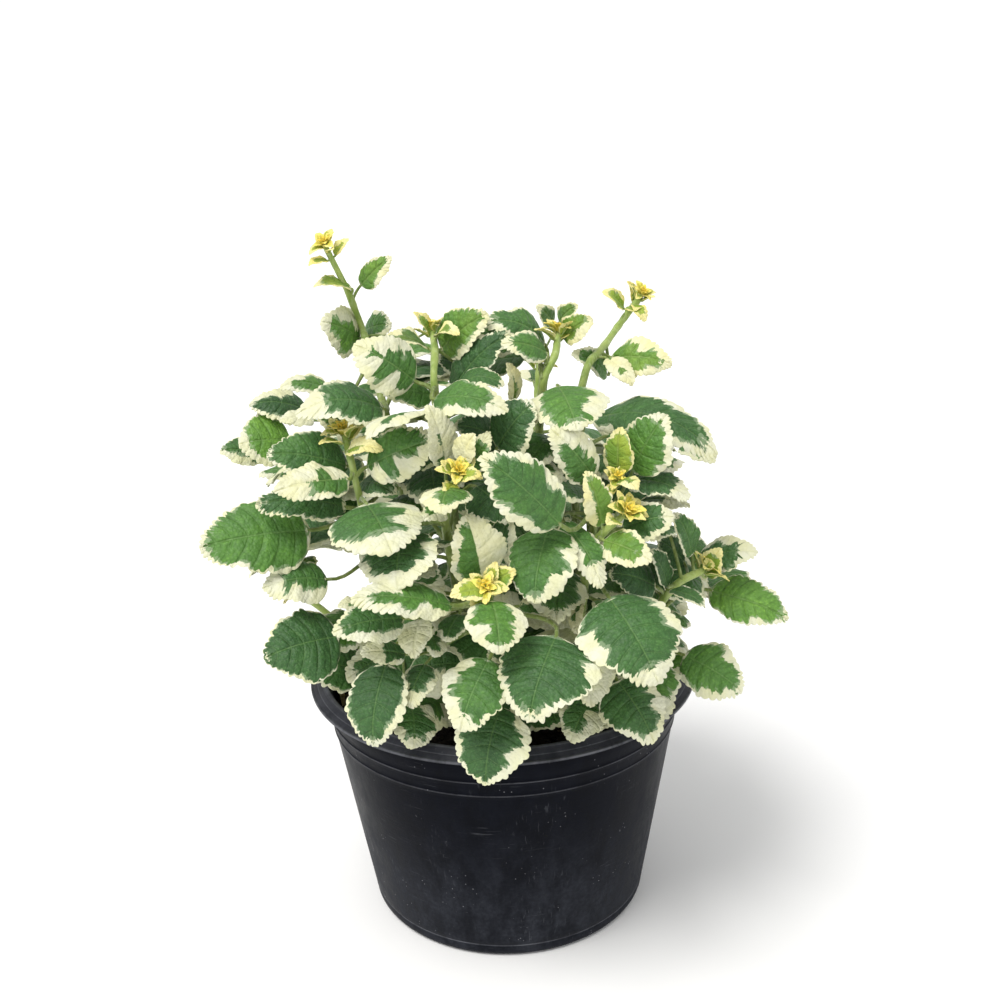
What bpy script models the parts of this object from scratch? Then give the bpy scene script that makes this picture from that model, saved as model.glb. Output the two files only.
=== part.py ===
"""Potted herb with cream-edged, scented leaves: a bushy young plant in a squat
round nursery pot.  The pot, its soil, the stems and the large leaves are
separate solids; everything rests, nothing moves.

+Z is up, the origin lies under the pot's middle on the surface it stands on,
and the side with the lowest overhanging leaf faces -Y.
"""
import math
import random

import bmesh
import bpy
from mathutils import Vector
from mathutils.bvhtree import BVHTree

HOLES = 6               # drain holes through the pot's floor
HOLE_R = 4.5            # their radius
HOLE_RING = 38.0        # how far they lie from the middle

# ---------------------------------------------------------------------------
# Driving dimensions, in millimetres (the meshes are written in metres)
# ---------------------------------------------------------------------------
RIM_R = 80.0            # outer radius of the pot's lip
POT_H = 100.0           # height of the lip's outer edge
RIM_RISE = 3.3          # how far the rim's inner edge stands over it
BASE_R = 58.0           # radius where the wall would meet the ground
NECK_R = 73.4           # outer radius of the wall just under the flared rim
WALL = 1.4              # wall of the pot
FLOOR = 2.2             # floor of the pot
SOIL_Z = 86.5           # level of the potting soil at the wall
SOIL_RISE = 4.5         # how much it mounds up at the middle
GAP = 0.35              # clearance between pieces that touch

# ---------------------------------------------------------------------------
# The view in which the plant's visible leaves were laid out.  A leaf is
# written down by where its base and its tip are seen from this standpoint,
# in thousandths of the picture's width; the functions below carry that into
# space, onto the rounded outline of the crown.
# ---------------------------------------------------------------------------
FOCAL = 1200.0
VIEW_EL = math.radians(25.797)
VIEW_DIST = 509.88
VIEW_ROLL = math.radians(-1.912)
VIEW_YAW = math.radians(-0.139)
VIEW_PITCH = math.radians(7.864)


def turn(v, k, a):
    return v * math.cos(a) + k.cross(v) * math.sin(a) + k * k.dot(v) * (1 - math.cos(a))


def view_axes():
    back = Vector((0, -math.cos(VIEW_EL), math.sin(VIEW_EL)))
    eye = Vector((0, 0, POT_H)) + back * VIEW_DIST
    fwd = -back
    right = Vector((1, 0, 0))
    up = right.cross(fwd)
    fwd, right = turn(fwd, up, VIEW_YAW), turn(right, up, VIEW_YAW)
    fwd, up = turn(fwd, right, VIEW_PITCH), turn(up, right, VIEW_PITCH)
    c, s = math.cos(VIEW_ROLL), math.sin(VIEW_ROLL)
    return eye, fwd, right * c + up * s, up * c - right * s


EYE, FWD, RIGHT, UP = view_axes()


def ray(px, py):
    return FWD + RIGHT * ((px - 500.0) / FOCAL) - UP * ((py - 500.0) / FOCAL)


def project(p):
    q = p - EYE
    z = q.dot(FWD)
    return 500 + FOCAL * q.dot(RIGHT) / z, 500 - FOCAL * q.dot(UP) / z, z


# the crown is a rounded bush: an ellipsoid standing on the rim
CROWN_C = Vector((-2.0, 0.0, POT_H + 50.0))
CROWN_R = Vector((90.0, 86.0, 98.0))


def crown_depth(px, py):
    d = ray(px, py)
    q = Vector([(EYE[i] - CROWN_C[i]) / CROWN_R[i] for i in range(3)])
    e = Vector([d[i] / CROWN_R[i] for i in range(3)])
    a, b, c = e.dot(e), 2 * q.dot(e), q.dot(q) - 1
    tm = -b / (2 * a)
    disc = b * b - 4 * a * c
    return tm - (math.sqrt(disc) / (2 * a) if disc > 0 else 0.0)


def at(px, py, d=0.0):
    return EYE + ray(px, py) * (crown_depth(px, py) + d)


# ---------------------------------------------------------------------------
# Leaves
# ---------------------------------------------------------------------------
def half_width(u):
    """Outline of an ovate leaf: 1 at its widest, rounded base, blunt tip."""
    if u <= 0.0 or u >= 1.0:
        return 0.0
    return math.sin(math.pi * u ** 0.80) ** 0.70


class Leaf:
    """A leaf blade on its petiole.  base, tip: ends of the blade.  n: the way
    its upper face looks.  width: full width.  arch: rise of the midrib over
    its chord.  fold: how far the edges lift (+) or droop (-)."""

    def __init__(self, name, base, tip, n, width, arch=0.1, fold=-0.1, thick=0.9):
        self.name, self.base, self.tip, self.width = name, base, tip, width
        self.arch, self.fold, self.thick = arch, fold, thick
        self.axis = (tip - base)
        self.length = self.axis.length
        self.axis = self.axis.normalized()
        n = n - self.axis * n.dot(self.axis)
        self.n = n.normalized()
        self.side = self.axis.cross(self.n)
        self.foot = None
        self.look = None
        self.owner = None

    def mid(self, u):
        return (self.base + self.axis * (self.length * u)
                + self.n * (self.arch * self.length * 4 * u * (1 - u)))

    def surf(self, u, v, wide=None):
        w = self.width * 0.5 * (half_width(u) if wide is None else wide)
        return (self.mid(u) + self.side * (v * w)
                + self.n * (self.fold * abs(v) ** 1.6 * w))

    def start_dir(self):
        return -(self.axis + self.n * (4 * self.arch)).normalized()

    def petiole(self, steps=3):
        """Points from the blade's base to the foot, on a curve that leaves
        the blade along its midrib."""
        a = self.base
        f = self.foot
        reach = (f - a).length
        c1 = a + self.start_dir() * (reach * 0.45)
        c2 = f + Vector((0, 0, 1)) * (reach * 0.12) + (a - f) * 0.22
        pts = []
        for i in range(1, steps + 1):
            t = i / steps
            s = 1 - t
            pts.append(a * s ** 3 + c1 * (3 * s * s * t) + c2 * (3 * s * t * t) + f * t ** 3)
        return pts

    def solid(self, grow=0.0, rings=(0.10, 0.34, 0.64, 0.88), bends=2):
        """Closed solid: rings of four points (left edge, top of the midrib,
        right edge, underside of the midrib), a cap at the foot and a point at
        the tip."""
        verts, faces = [], []
        pr = min(0.85, 0.016 * self.length + 0.30) + grow
        pts = self.petiole(bends) if self.foot is not None else []
        line = [self.base] + pts
        back = []
        s = self.side.copy()
        for i, p in enumerate(line):
            if i == 0:
                t = -self.start_dir()
            elif i < len(line) - 1:
                t = (line[i - 1] - line[i + 1]).normalized()
            else:
                t = (line[i - 1] - p).normalized()
            s = (s - t * s.dot(t)).normalized()
            m = s.cross(t)
            r = pr * (1.15 if i == len(line) - 1 and i else 1.0)
            back.append([p - s * r, p + m * r, p + s * r, p - m * r])
        allr = list(reversed(back))
        for u in rings:
            th = self.thick * (0.5 + 0.15 * (1 - u)) + grow
            allr.append([self.surf(u, -1) - self.side * grow, self.mid(u) + self.n * th,
                         self.surf(u, 1) + self.side * grow, self.mid(u) - self.n * th])
        for r in allr:
            verts.extend(r)
        verts.append(self.mid(1.0) + self.axis * grow)
        k = len(allr)
        faces.append((3, 2, 1, 0))
        for i in range(k - 1):
            for j in range(4):
                a, b = 4 * i + j, 4 * i + (j + 1) % 4
                faces.append((a, b, b + 4, a + 4))
        for j in range(4):
            faces.append((4 * (k - 1) + j, 4 * (k - 1) + (j + 1) % 4, 4 * k))
        return verts, faces


def tri(verts, faces):
    """Triangles of a solid, each quad split along the diagonal that starts at
    its lowest corner number, so that the solid is the same wherever it is
    built."""
    out = []
    for f in faces:
        if len(f) == 3:
            out.append(tuple(f))
        else:
            k = f.index(min(f))
            g = f[k:] + f[:k]
            for i in range(1, len(g) - 1):
                out.append((g[0], g[i], g[i + 1]))
    return out


def bvh(verts, faces):
    return BVHTree.FromPolygons([tuple(v) for v in verts], tri(verts, faces))


class Body:
    """Anything that takes up room: its search tree and its box."""

    def __init__(self, name, verts, faces):
        self.name = name
        self.tree = bvh(verts, faces)
        self.lo = Vector([min(v[i] for v in verts) for i in range(3)])
        self.hi = Vector([max(v[i] for v in verts) for i in range(3)])

    def hits(self, other):
        for i in range(3):
            if self.hi[i] < other.lo[i] or other.hi[i] < self.lo[i]:
                return False
        return bool(self.tree.overlap(other.tree))


# ---------------------------------------------------------------------------
# Stems
# ---------------------------------------------------------------------------
def smooth(points, per=4):
    """A curve through the points, with `per` steps between two of them."""
    p = [points[0] * 2 - points[1]] + list(points) + [points[-1] * 2 - points[-2]]
    out = []
    for i in range(1, len(p) - 2):
        for k in range(per):
            t = k / per
            a, b, c, d = p[i - 1], p[i], p[i + 1], p[i + 2]
            out.append(0.5 * ((2 * b) + (c - a) * t + (2 * a - 5 * b + 4 * c - d) * t * t
                              + (3 * b - a - 3 * c + d) * t ** 3))
    out.append(points[-1].copy())
    return out


RUNS = 12               # straight runs of a stem's solid


class Stem:
    def __init__(self, name, points, r0=2.1, r1=1.1):
        self.name = name
        self.r0, self.r1 = r0, r1
        self.measure(smooth(points, 6))
        self.measure([self.point(i / RUNS)[0] for i in range(RUNS + 1)])

    def measure(self, line):
        self.line = line
        self.cum = [0.0]
        for a, b in zip(self.line, self.line[1:]):
            self.cum.append(self.cum[-1] + (b - a).length)
        self.length = self.cum[-1]

    def point(self, t):
        """Point at the share t of the length, and the way the stem runs."""
        s = min(max(t, 0.0), 1.0) * self.length
        for i in range(len(self.cum) - 1):
            if s <= self.cum[i + 1] or i == len(self.cum) - 2:
                k = (s - self.cum[i]) / max(self.cum[i + 1] - self.cum[i], 1e-9)
                d = (self.line[i + 1] - self.line[i])
                return self.line[i] + d * k, d.normalized()

    def radius(self, t):
        return self.r0 + (self.r1 - self.r0) * t ** 0.8

    def frames(self, steps):
        """Centres, directions and two side vectors that don't twist."""
        out = []
        ref = Vector((0.8, 0.6, 0))
        for i in range(steps + 1):
            t = i / steps
            p, d = self.point(t)
            ref = (ref - d * ref.dot(d)).normalized()
            out.append((t, p, d, ref.copy(), d.cross(ref)))
        return out

    def nearest(self, p, lo=0.0, hi=1.0, n=60):
        best = None
        for i in range(n + 1):
            t = lo + (hi - lo) * i / n
            q = self.point(t)[0]
            e = (q - p).length
            if best is None or e < best[0]:
                best = (e, t, q)
        return best

    def solid(self, steps=RUNS, grow=0.0, flat=True):
        verts, faces = [], []
        for t, p, d, a, b in self.frames(steps):
            r = (self.radius(t) + grow) * 1.12
            ring = [p + a * r, p + b * r, p - a * r, p - b * r]
            if t == 0 and flat:
                ring = [Vector((q.x, q.y, p.z)) for q in ring]
            verts.extend(ring)
        k = steps
        faces.append((3, 2, 1, 0))
        for i in range(k):
            for j in range(4):
                a, b = 4 * i + j, 4 * i + (j + 1) % 4
                faces.append((a, b, b + 4, a + 4))
        top = self.line[-1] + self.point(1.0)[1] * (self.r1 * 0.8)
        verts.append(top)
        for j in range(4):
            faces.append((4 * k + j, 4 * k + (j + 1) % 4, 4 * k + 4))
        return verts, faces


def soil_height(x, y):
    r = min(math.hypot(x, y) / 70.0, 1.0)
    return SOIL_Z + SOIL_RISE * (1 - r * r)
# ---------------------------------------------------------------------------
# The leaves that the view shows.  Each row:
#   name, the stem it grows from as one piece ("" = a piece of its own),
#   base x, y, tip x, y, width as seen, depth behind the crown's outline (mm),
#   length over seen length (0 = lies along the crown, minus = tip points away),
#   share of the width that is seen, arch, fold,
#   cream edge on the left, on the right, at the tip (shares), youth (0..1)
# ---------------------------------------------------------------------------
LEAF_ROWS = [
    # tall shoot, top left
    ("s1_right", "s1", 361, 285, 389, 257, 23, 2, 1.12, .90, .05, .06, .10, .40, .10, .30),
    ("s1_left", "s1", 351, 288, 314, 284, 10, -3, 1.10, .45, .12, .20, .30, .30, .20, .60),
    ("s1_low_left", "s1", 360, 338, 324, 321, 46, 5, 1.45, .92, .10, -.10, .35, .60, .20, .15),
    ("s1_low_right", "s1", 364, 331, 389, 324, 32, 12, 1.5, .85, .10, -.10, .15, .20, .10, .10),
    ("leaf_top_left", "", 415, 381, 357, 344, 56, 0, 1.12, .95, .10, -.12, .58, .56, .22, .12),
    # second shoot
    ("s2_left", "s2", 427, 347, 382, 342, 13, -4, 1.10, .40, .14, .25, .35, .35, .20, .35),
    ("s2_right", "s2", 441, 349, 486, 313, 42, 3, 1.15, .92, .10, .05, .06, .35, .08, .30),
    ("s2_front", "s2", 436, 336, 459, 333, 11, -5, 1.3, .50, .20, .25, .5, .4, .3, .60),
    ("s2_up", "s2", 432, 336, 416, 311, 9, 0, 1.1, .45, .02, .30, .3, .3, .2, .75),
    ("s2_behind", "s2", 470, 374, 437, 357, 26, 26, 1.1, .70, .12, -.10, .1, .2, .1, .05),
    # third shoot
    ("s3_right", "s3", 563, 338, 591, 318, 27, 0, 1.15, .90, .10, .15, .12, .60, .12, .40),
    ("s3_back_right", "s3", 559, 322, 576, 305, 19, 6, 1.3, .85, .10, .1, .15, .15, .1, .30),
    ("s3_back_left", "s3", 553, 324, 538, 306, 18, 6, 1.3, .85, .10, .1, .25, .25, .2, .30),
    ("leaf_top_small", "", 547, 353, 503, 342, 28, -2, 1.15, .85, .14, -.10, .40, .22, .15, .18),
    ("leaf_top_arched", "", 545, 344, 485, 319, 32, 9, 1.10, .72, .20, -.14, .38, .08, .10, .05),
    ("leaf_top_grey", "", 452, 391, 508, 332, 35, 14, 1.10, .75, .10, .05, .10, .08, .05, .0),
    ("s3_under", "s3", 455, 392, 503, 381, 22, 10, 1.10, .55, .24, -.1, .08, .08, .05, .05),
    ("leaf_top_front", "", 434, 399, 507, 409, 36, -1, 1.12, .78, .14, -.14, .14, .50, .20, .05),
    ("s3_pale", "s3", 513, 402, 509, 363, 14, 22, 1.15, .6, .1, .1, .9, .9, .3, .45),
    ("leaf_top_middle", "", 558, 386, 577, 427, 73, 0, 1.6, .95, .10, -.16, .42, .34, .10, .12),
    ("s3_shade", "s3", 497, 448, 531, 403, 50, 10, 1.12, .92, .10, -.10, .04, .25, .08, .0),
    ("s3_dark", "s3", 500, 440, 456, 424, 34, 18, 1.15, .85, .12, -.1, .06, .06, .05, .0),
    # fourth shoot, top right
    ("s4_left", "s4", 624, 308, 605, 290, 12, -3, 1.15, .5, .06, .2, .3, .3, .2, .80),
    ("s4_front", "s4", 628, 307, 646, 319, 12, -4, 1.2, .6, .2, .1, .3, .3, .2, .80),
    ("s4_up", "s4", 633, 301, 629, 281, 7, 3, 1.1, .4, .05, .3, .3, .3, .2, .85),
    ("s4_right", "s4", 611, 357, 670, 361, 38, -2, 1.15, .88, .08, -.05, .45, .30, .14, .35),
    ("s4_lobe", "s4", 607, 358, 633, 383, 20, -5, 1.2, .8, .1, -.1, .8, .9, .3, .30),
    ("s4_grey", "s4", 607, 374, 574, 352, 21, 6, 1.15, .7, .1, .2, .2, .15, .1, .0),
    # right of the top
    ("leaf_right_long", "", 594, 418, 717, 451, 42, 11, 1.05, .68, .20, -.14, .22, .30, .10, .0),
    ("leaf_right_up", "", 632, 472, 664, 415, 54, 2, 1.10, .93, .08, -.10, .08, .18, .12, .05),
    ("leaf_right_narrow", "", 629, 480, 689, 494, 27, 8, 1.12, .70, .12, -.10, .06, .12, .25, .05),
    ("s8_white", "s8", 640, 501, 690, 505, 15, 13, 1.1, .55, .1, -.1, .8, .8, .4, .05),
    # seventh shoot
    ("s7_up", "s7", 618, 474, 619, 429, 30, 0, 1.12, .93, .05, .10, .22, .20, .10, .60),
    ("s7_curl", "s7", 621, 480, 637, 488, 15, -3, 1.5, .7, .2, -.1, .4, .4, .3, .55),
    # eighth shoot
    ("s8_left_leaf", "s8", 602, 526, 589, 473, 29, 2, 1.12, .93, .06, .08, .52, .08, .10, .45),
    ("leaf_right_dark", "", 622, 528, 672, 515, 41, 5, 1.10, .90, .10, -.10, .14, .22, .18, .05),
    ("s8_low_leaf", "s8", 604, 540, 651, 560, 37, -1, 1.15, .93, .10, -.06, .18, .32, .22, .35),
    ("leaf_mid_narrow", "", 564, 522, 603, 586, 33, 5, 1.10, .90, .12, -.10, .15, .45, .28, .10),
    ("leaf_mid_cream", "", 594, 478, 553, 429, 43, 2, 1.12, .94, .08, -.08, .28, .75, .25, .10),
    ("leaf_mid_large", "", 560, 524, 484, 456, 64, -5, 1.05, .95, .08, -.12, .20, .20, .10, .0),
    # sixth shoot
    ("s6_small", "s6", 462, 479, 481, 475, 13, -3, 1.2, .7, .2, .1, .3, .3, .2, .80),
    ("s6_cream_up", "s6", 459, 462, 474, 434, 24, 3, 1.15, .9, .06, .06, 1., 1., .3, .35),
    ("s6_green_up", "s6", 472, 470, 488, 433, 24, 6, 1.12, .9, .08, .05, .10, .18, .25, .10),
    ("s6_pale_up", "s6", 446, 470, 430, 406, 30, 8, 1.12, .8, .08, .10, .8, 1., .4, .10),
    ("s6_down", "s6", 449, 486, 441, 509, 47, -3, 1.7, .93, .10, -.16, .12, .60, .15, .25),
    ("s6_dark", "s6", 476, 486, 510, 518, 50, 14, 1.15, .9, .1, -.1, .05, .05, .05, .0),
    # fifth shoot
    ("s5_behind", "s5", 344, 427, 318, 410, 28, 4, 1.15, .92, .08, .05, .22, .22, .15, .30),
    ("s5_small", "s5", 346, 452, 381, 448, 16, -3, 1.15, .7, .16, .1, .85, .55, .4, .60),
    ("leaf_left_right", "", 366, 467, 434, 438, 52, 1, 1.10, .95, .08, -.12, .12, .62, .12, .12),
    ("leaf_left_cream", "", 349, 479, 274, 490, 37, -2, 1.10, .88, .08, -.10, .25, .85, .45, .20),
    ("leaf_left_blue", "", 348, 466, 269, 451, 50, 7, 1.08, .92, .10, -.14, .08, .06, .04, .0),
    ("leaf_left_far", "", 291, 440, 240, 443, 52, 15, 1.12, .92, .10, -.12, .30, .08, .15, .10),
    ("s5_far_tip", "s5", 264, 455, 221, 449, 27, 26, 1.12, .8, .1, -.1, .60, .12, .05, .0),
    ("s5_high", "s5", 309, 411, 250, 402, 31, 22, 1.08, .75, .12, -.10, .12, .42, .05, .0),
    ("s5_far_back", "s5", 331, 391, 281, 384, 19, 26, 1.08, .6, .14, -.1, .12, .45, .2, .0),
    ("leaf_left_arched", "", 384, 409, 297, 409, 42, 3, 1.08, .72, .17, -.14, .14, .16, .28, .0),
    ("s5_white", "s5", 314, 420, 280, 419, 15, 13, 1.1, .6, .1, -.1, 1., 1., .5, .10),
    # left, low
    ("leaf_low_left_big", "", 310, 530, 200, 546, 74, 0, 1.05, .93, .08, -.12, .06, .10, .05, .0),
    ("leaf_low_left_back", "", 346, 507, 256, 503, 36, 10, 1.08, .80, .12, -.12, .06, .06, .05, .0),
    ("leaf_low_left_small", "", 327, 579, 263, 586, 44, 5, 1.08, .85, .12, -.10, .45, .08, .30, .0),
    ("leaf_left_middle", "", 367, 504, 392, 550, 92, -2, 1.55, .95, .08, -.16, .42, .10, .30, .05),
    ("leaf_left_under", "", 404, 532, 396, 586, 78, 5, 1.4, .93, .10, -.14, .28, .12, .22, .0),
    ("leaf_left_striped", "", 452, 605, 352, 597, 37, -3, 1.06, .75, .08, -.10, .48, .62, .15, .05),
    ("leaf_left_bottom", "", 403, 618, 333, 631, 39, 1, 1.12, .88, .10, -.10, .25, .10, .12, .0),
    ("s9_low_a", "s9", 362, 604, 338, 605, 14, 7, 1.1, .7, .1, -.1, .9, .9, .3, .15),
    ("leaf_bottom_far_left", "", 339, 636, 265, 656, 70, 1, 1.10, .95, .10, -.14, .03, .02, .03, .0),
    ("s9_low_b", "s9", 405, 654, 361, 652, 25, 4, 1.1, .85, .1, -.1, .4, .2, .5, .05),
    ("leaf_bottom_left", "", 386, 664, 371, 745, 59, 0, 1.04, .93, .12, -.14, .14, .08, .05, .0),
    ("leaf_rim_left", "", 411, 705, 414, 748, 46, 9, 1.15, .90, .10, -.10, .35, .25, .20, .0),
    ("leaf_bottom_cream", "", 489, 659, 459, 730, 64, 0, 1.06, .94, .10, -.14, .10, .42, .16, .0),
    ("leaf_bottom_front", "", 500, 707, 484, 785, 74, 0, 1.03, .95, .12, -.14, .26, .10, .05, .0),
    ("leaf_bottom_middle", "", 556, 636, 528, 717, 97, -4, 1.15, .96, .10, -.16, .22, .10, .08, .0),
    ("leaf_bottom_right", "", 609, 597, 659, 680, 95, -5, 1.10, .96, .10, -.16, .16, .20, .14, .0),
    ("s10_underside", "s10", 600, 648, 589, 705, 46, 7, 1.1, .9, .08, .10, 1., 1., .5, .12),
    ("leaf_bottom_outer", "", 617, 680, 655, 742, 60, 0, 1.05, .94, .12, -.14, .36, .14, .10, .0),
    ("leaf_right_low", "", 684, 655, 742, 690, 54, 5, 1.10, .93, .10, -.12, .32, .30, .05, .0),
    ("leaf_rim_right", "", 593, 698, 570, 741, 44, 10, 1.12, .90, .10, -.10, .75, .45, .20, .0),
    # ninth shoot, front middle
    ("leaf_middle_half", "", 482, 580, 468, 517, 57, 0, 1.12, .95, .06, .06, .28, 1., .10, .20),
    ("s9_behind", "s9", 500, 564, 506, 516, 32, 6, 1.12, .9, .06, .05, .06, .45, .10, .10),
    ("s9_right", "s9", 487, 588, 514, 570, 26, -2, 1.15, .93, .10, .08, .22, .30, .15, .70),
    ("s9_left", "s9", 486, 589, 451, 595, 23, -3, 1.15, .90, .10, .06, .25, .28, .20, .70),
    ("leaf_middle_down", "", 492, 600, 500, 652, 60, -4, 1.2, .95, .10, -.12, .32, .50, .10, .12),
    ("leaf_middle_round", "", 549, 527, 533, 601, 67, 2, 1.10, .94, .10, -.14, .26, .04, .06, .0),
    # tenth shoot, right
    ("s10_up", "s10", 706, 576, 719, 549, 25, 0, 1.2, .92, .10, .15, .20, .22, .20, .60),
    ("leaf_right_end", "", 710, 590, 788, 616, 45, 3, 1.06, .88, .06, -.08, .04, .14, .05, .10),
    ("leaf_right_back", "", 698, 560, 756, 550, 35, 16, 1.10, .80, .10, -.10, .40, .22, .25, .0),
    ("s10_narrow_up", "s10", 692, 556, 677, 513, 22, 5, 1.12, .75, .08, .08, .28, .06, .10, .0),
    ("s10_narrow_left", "s10", 668, 588, 650, 549, 17, 3, 1.12, .55, .08, .15, .25, .10, .10, .0),
    ("s10_narrow_right", "s10", 670, 590, 706, 605, 14, 2, 1.12, .55, .10, .12, .12, .15, .10, .0),
    ("s10_dark", "s10", 684, 562, 661, 540, 30, 18, 1.15, .85, .1, -.1, .05, .1, .05, .0),
    # seen between the others
    ("s8_dark", "s8", 656, 586, 612, 572, 36, 13, 1.1, .85, .1, -.1, .05, .05, .05, .0),
    ("s9_olive", "s9", 578, 602, 577, 634, 15, 18, 1.2, .7, .1, -.1, .9, .9, .3, .30),
    ("s9_pale", "s9", 420, 619, 413, 657, 32, 8, 1.15, .85, .08, .10, 1., 1., .5, .15),
    ("s9_small", "s9", 431, 634, 436, 656, 25, 12, 1.4, .85, .1, -.1, .4, .3, .2, .05),
    ("s9_low_c", "s9", 425, 664, 409, 706, 32, 8, 1.15, .85, .1, -.1, .3, .4, .3, .05),
    ("s9_low_d", "s9", 459, 614, 446, 640, 28, 16, 1.3, .85, .1, -.1, .2, .2, .1, .05),
]

# The stems with a tip that the view shows: name, then points from the tip
# downward (x, y, depth behind the crown's outline), the place where it leaves
# the soil (x, y in mm), and the size of the tip's tuft of young leaves (mm)
STEM_ROWS = [
    ("s1", [(325, 246, 2), (338, 272, 1), (351, 298, 2), (364, 334, 7), (384, 408, 16)], (-30, 8), 7.5),
    ("s2", [(433, 331, 0), (435, 350, 2), (435, 398, 10)], (-12, 14), 7.0),
    ("s3", [(558, 334, 1), (555, 358, 4), (542, 383, 12)], (14, 18), 8.5),
    ("s4", [(641, 296, 3), (626, 315, 3), (596, 358, 6), (580, 384, 12)], (32, 4), 6.5),
    ("s5", [(344, 434, -1), (350, 455, 2), (361, 503, 16)], (-38, -10), 8.5),
    ("s6", [(458, 474, 1), (452, 490, 6), (445, 520, 18)], (-14, -14), 8.0),
    ("s7", [(617, 478, 2), (612, 490, 10), (600, 510, 24)], (20, -4), 5.5),
    ("s8", [(625, 514, 0), (606, 530, 5), (590, 548, 14)], (30, -20), 8.5),
    ("s9", [(486, 588, 1), (490, 600, 12), (494, 625, 28)], (2, -34), 7.5),
    ("s10", [(705, 570, 2), (686, 578, 5), (668, 592, 16)], (44, -14), 8.0),
]

# Stems toward the back, which the view doesn't show: bearing of the tip
# (degrees from +X), its distance from the axis, its height over the rim, the
# bearing and distance of its foot
BACK_ROWS = [
    ("b1", 35, 84, 92, 40, 36, 7.5),
    ("b2", 72, 66, 116, 70, 34, 7.5),
    ("b3", 112, 70, 112, 108, 36, 7.5),
    ("b4", 148, 86, 88, 145, 40, 7.5),
    ("b5", 62, 94, 52, 62, 46, 6.5),
    ("b6", 120, 98, 50, 122, 48, 6.5),
    ("b7", 14, 88, 30, 12, 48, 6.5),
    ("b8", 167, 90, 28, 170, 48, 6.5),
]
# ---------------------------------------------------------------------------
# Growing the plant
# ---------------------------------------------------------------------------
def row_leaf(row, shift=0.0):
    """The leaf of one row, moved `shift` mm deeper along the line of sight;
    it grows with the distance, so it looks the same from the standpoint."""
    (name, own, bx, by, tx, ty, w, d, tl, ap, arch, fold, ml, mr, mt, yg) = row
    tb = crown_depth(bx, by) + d + 3.0 + shift
    seen = math.hypot(tx - bx, ty - by) * tb / FOCAL
    if tl == 0:
        dt = max(-0.8 * seen, min(0.8 * seen, crown_depth(tx, ty) - crown_depth(bx, by)))
    else:
        dt = -math.copysign(seen * math.sqrt(max(tl * tl - 1, 0.0)), tl)
    base = EYE + ray(bx, by) * tb
    tip = EYE + ray(tx, ty) * (tb + dt)
    axis = (tip - base).normalized()
    n0 = -ray((bx + tx) / 2, (by + ty) / 2).normalized()
    n0 = (n0 - axis * n0.dot(axis)).normalized()
    side = axis.cross(n0)
    phi = math.acos(min(1.0, abs(ap)))
    lean = 1.0 if n0.cross(Vector((0, 0, 1))).dot(axis) > 0 else -1.0
    n = turn(n0, axis, phi * lean * (1 if ap > 0 else -1))
    wide = w * (tb + dt * 0.45) / FOCAL / abs(ap)
    leaf = Leaf(name, base, tip, n, wide, arch, fold)
    leaf.owner = own
    leaf.look = (ml, mr, mt, yg)
    return leaf


def stub(leaf, reach=None):
    """A short petiole toward the middle of the bush, curving down."""
    reach = reach or max(4.0, 0.22 * leaf.length)
    inward = Vector((-leaf.base.x, -leaf.base.y, 0))
    inward = inward.normalized() if inward.length > 1 else Vector((0, 0, -1))
    d = (leaf.start_dir() * 1.0 + inward * 0.35 + Vector((0, 0, -0.45))).normalized()
    leaf.foot = leaf.base + d * reach


def hidden_stem_points(top, foot):
    """From where a stem goes out of sight, in and down to the soil."""
    f = Vector((foot[0], foot[1], soil_height(*foot) + GAP))
    m = f.lerp(top, 0.55)
    m = Vector((m.x * 0.86 + f.x * 0.10, m.y * 0.86 + f.y * 0.10, m.z - 3.0))
    g = Vector((f.x * 0.98 + m.x * 0.02, f.y * 0.98 + m.y * 0.02, f.z + 16.0))
    return [f, g, m]


def make_stems():
    stems = {}
    for name, pts, foot, tuft in STEM_ROWS:
        line = [at(x, y, d) for x, y, d in pts]
        line.reverse()
        s = Stem(name, hidden_stem_points(line[0], foot) + line)
        s.tuft = tuft
        stems[name] = s
    for name, deg, dist, up, fdeg, fdist, tuft in BACK_ROWS:
        a, b = math.radians(deg), math.radians(fdeg)
        tip = Vector((dist * math.cos(a), dist * math.sin(a), POT_H + up))
        foot = (fdist * math.cos(b), fdist * math.sin(b))
        low = Vector((tip.x * 0.86, tip.y * 0.86, POT_H + up * 0.72))
        s = Stem(name, hidden_stem_points(low, foot) + [low, tip])
        s.tuft = tuft
        stems[name] = s
    return stems


def tip_frame(stem):
    """The axis of a stem's last leaves, which turns to the light, and two
    directions square to it."""
    p, d = stem.point(1.0)
    if stem.name.startswith("b"):
        light = Vector((p.x, p.y, 0)).normalized() * 0.6 + Vector((0, 0, 0.6))
    else:
        light = (EYE - p).normalized() * 0.85 + Vector((0, 0, 0.40))
    d = (d + light).normalized()
    a = d.cross(Vector((0, 0, 1)))
    a = a.normalized() if a.length > 0.05 else Vector((1, 0, 0))
    return p, d, a, d.cross(a).normalized()


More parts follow.
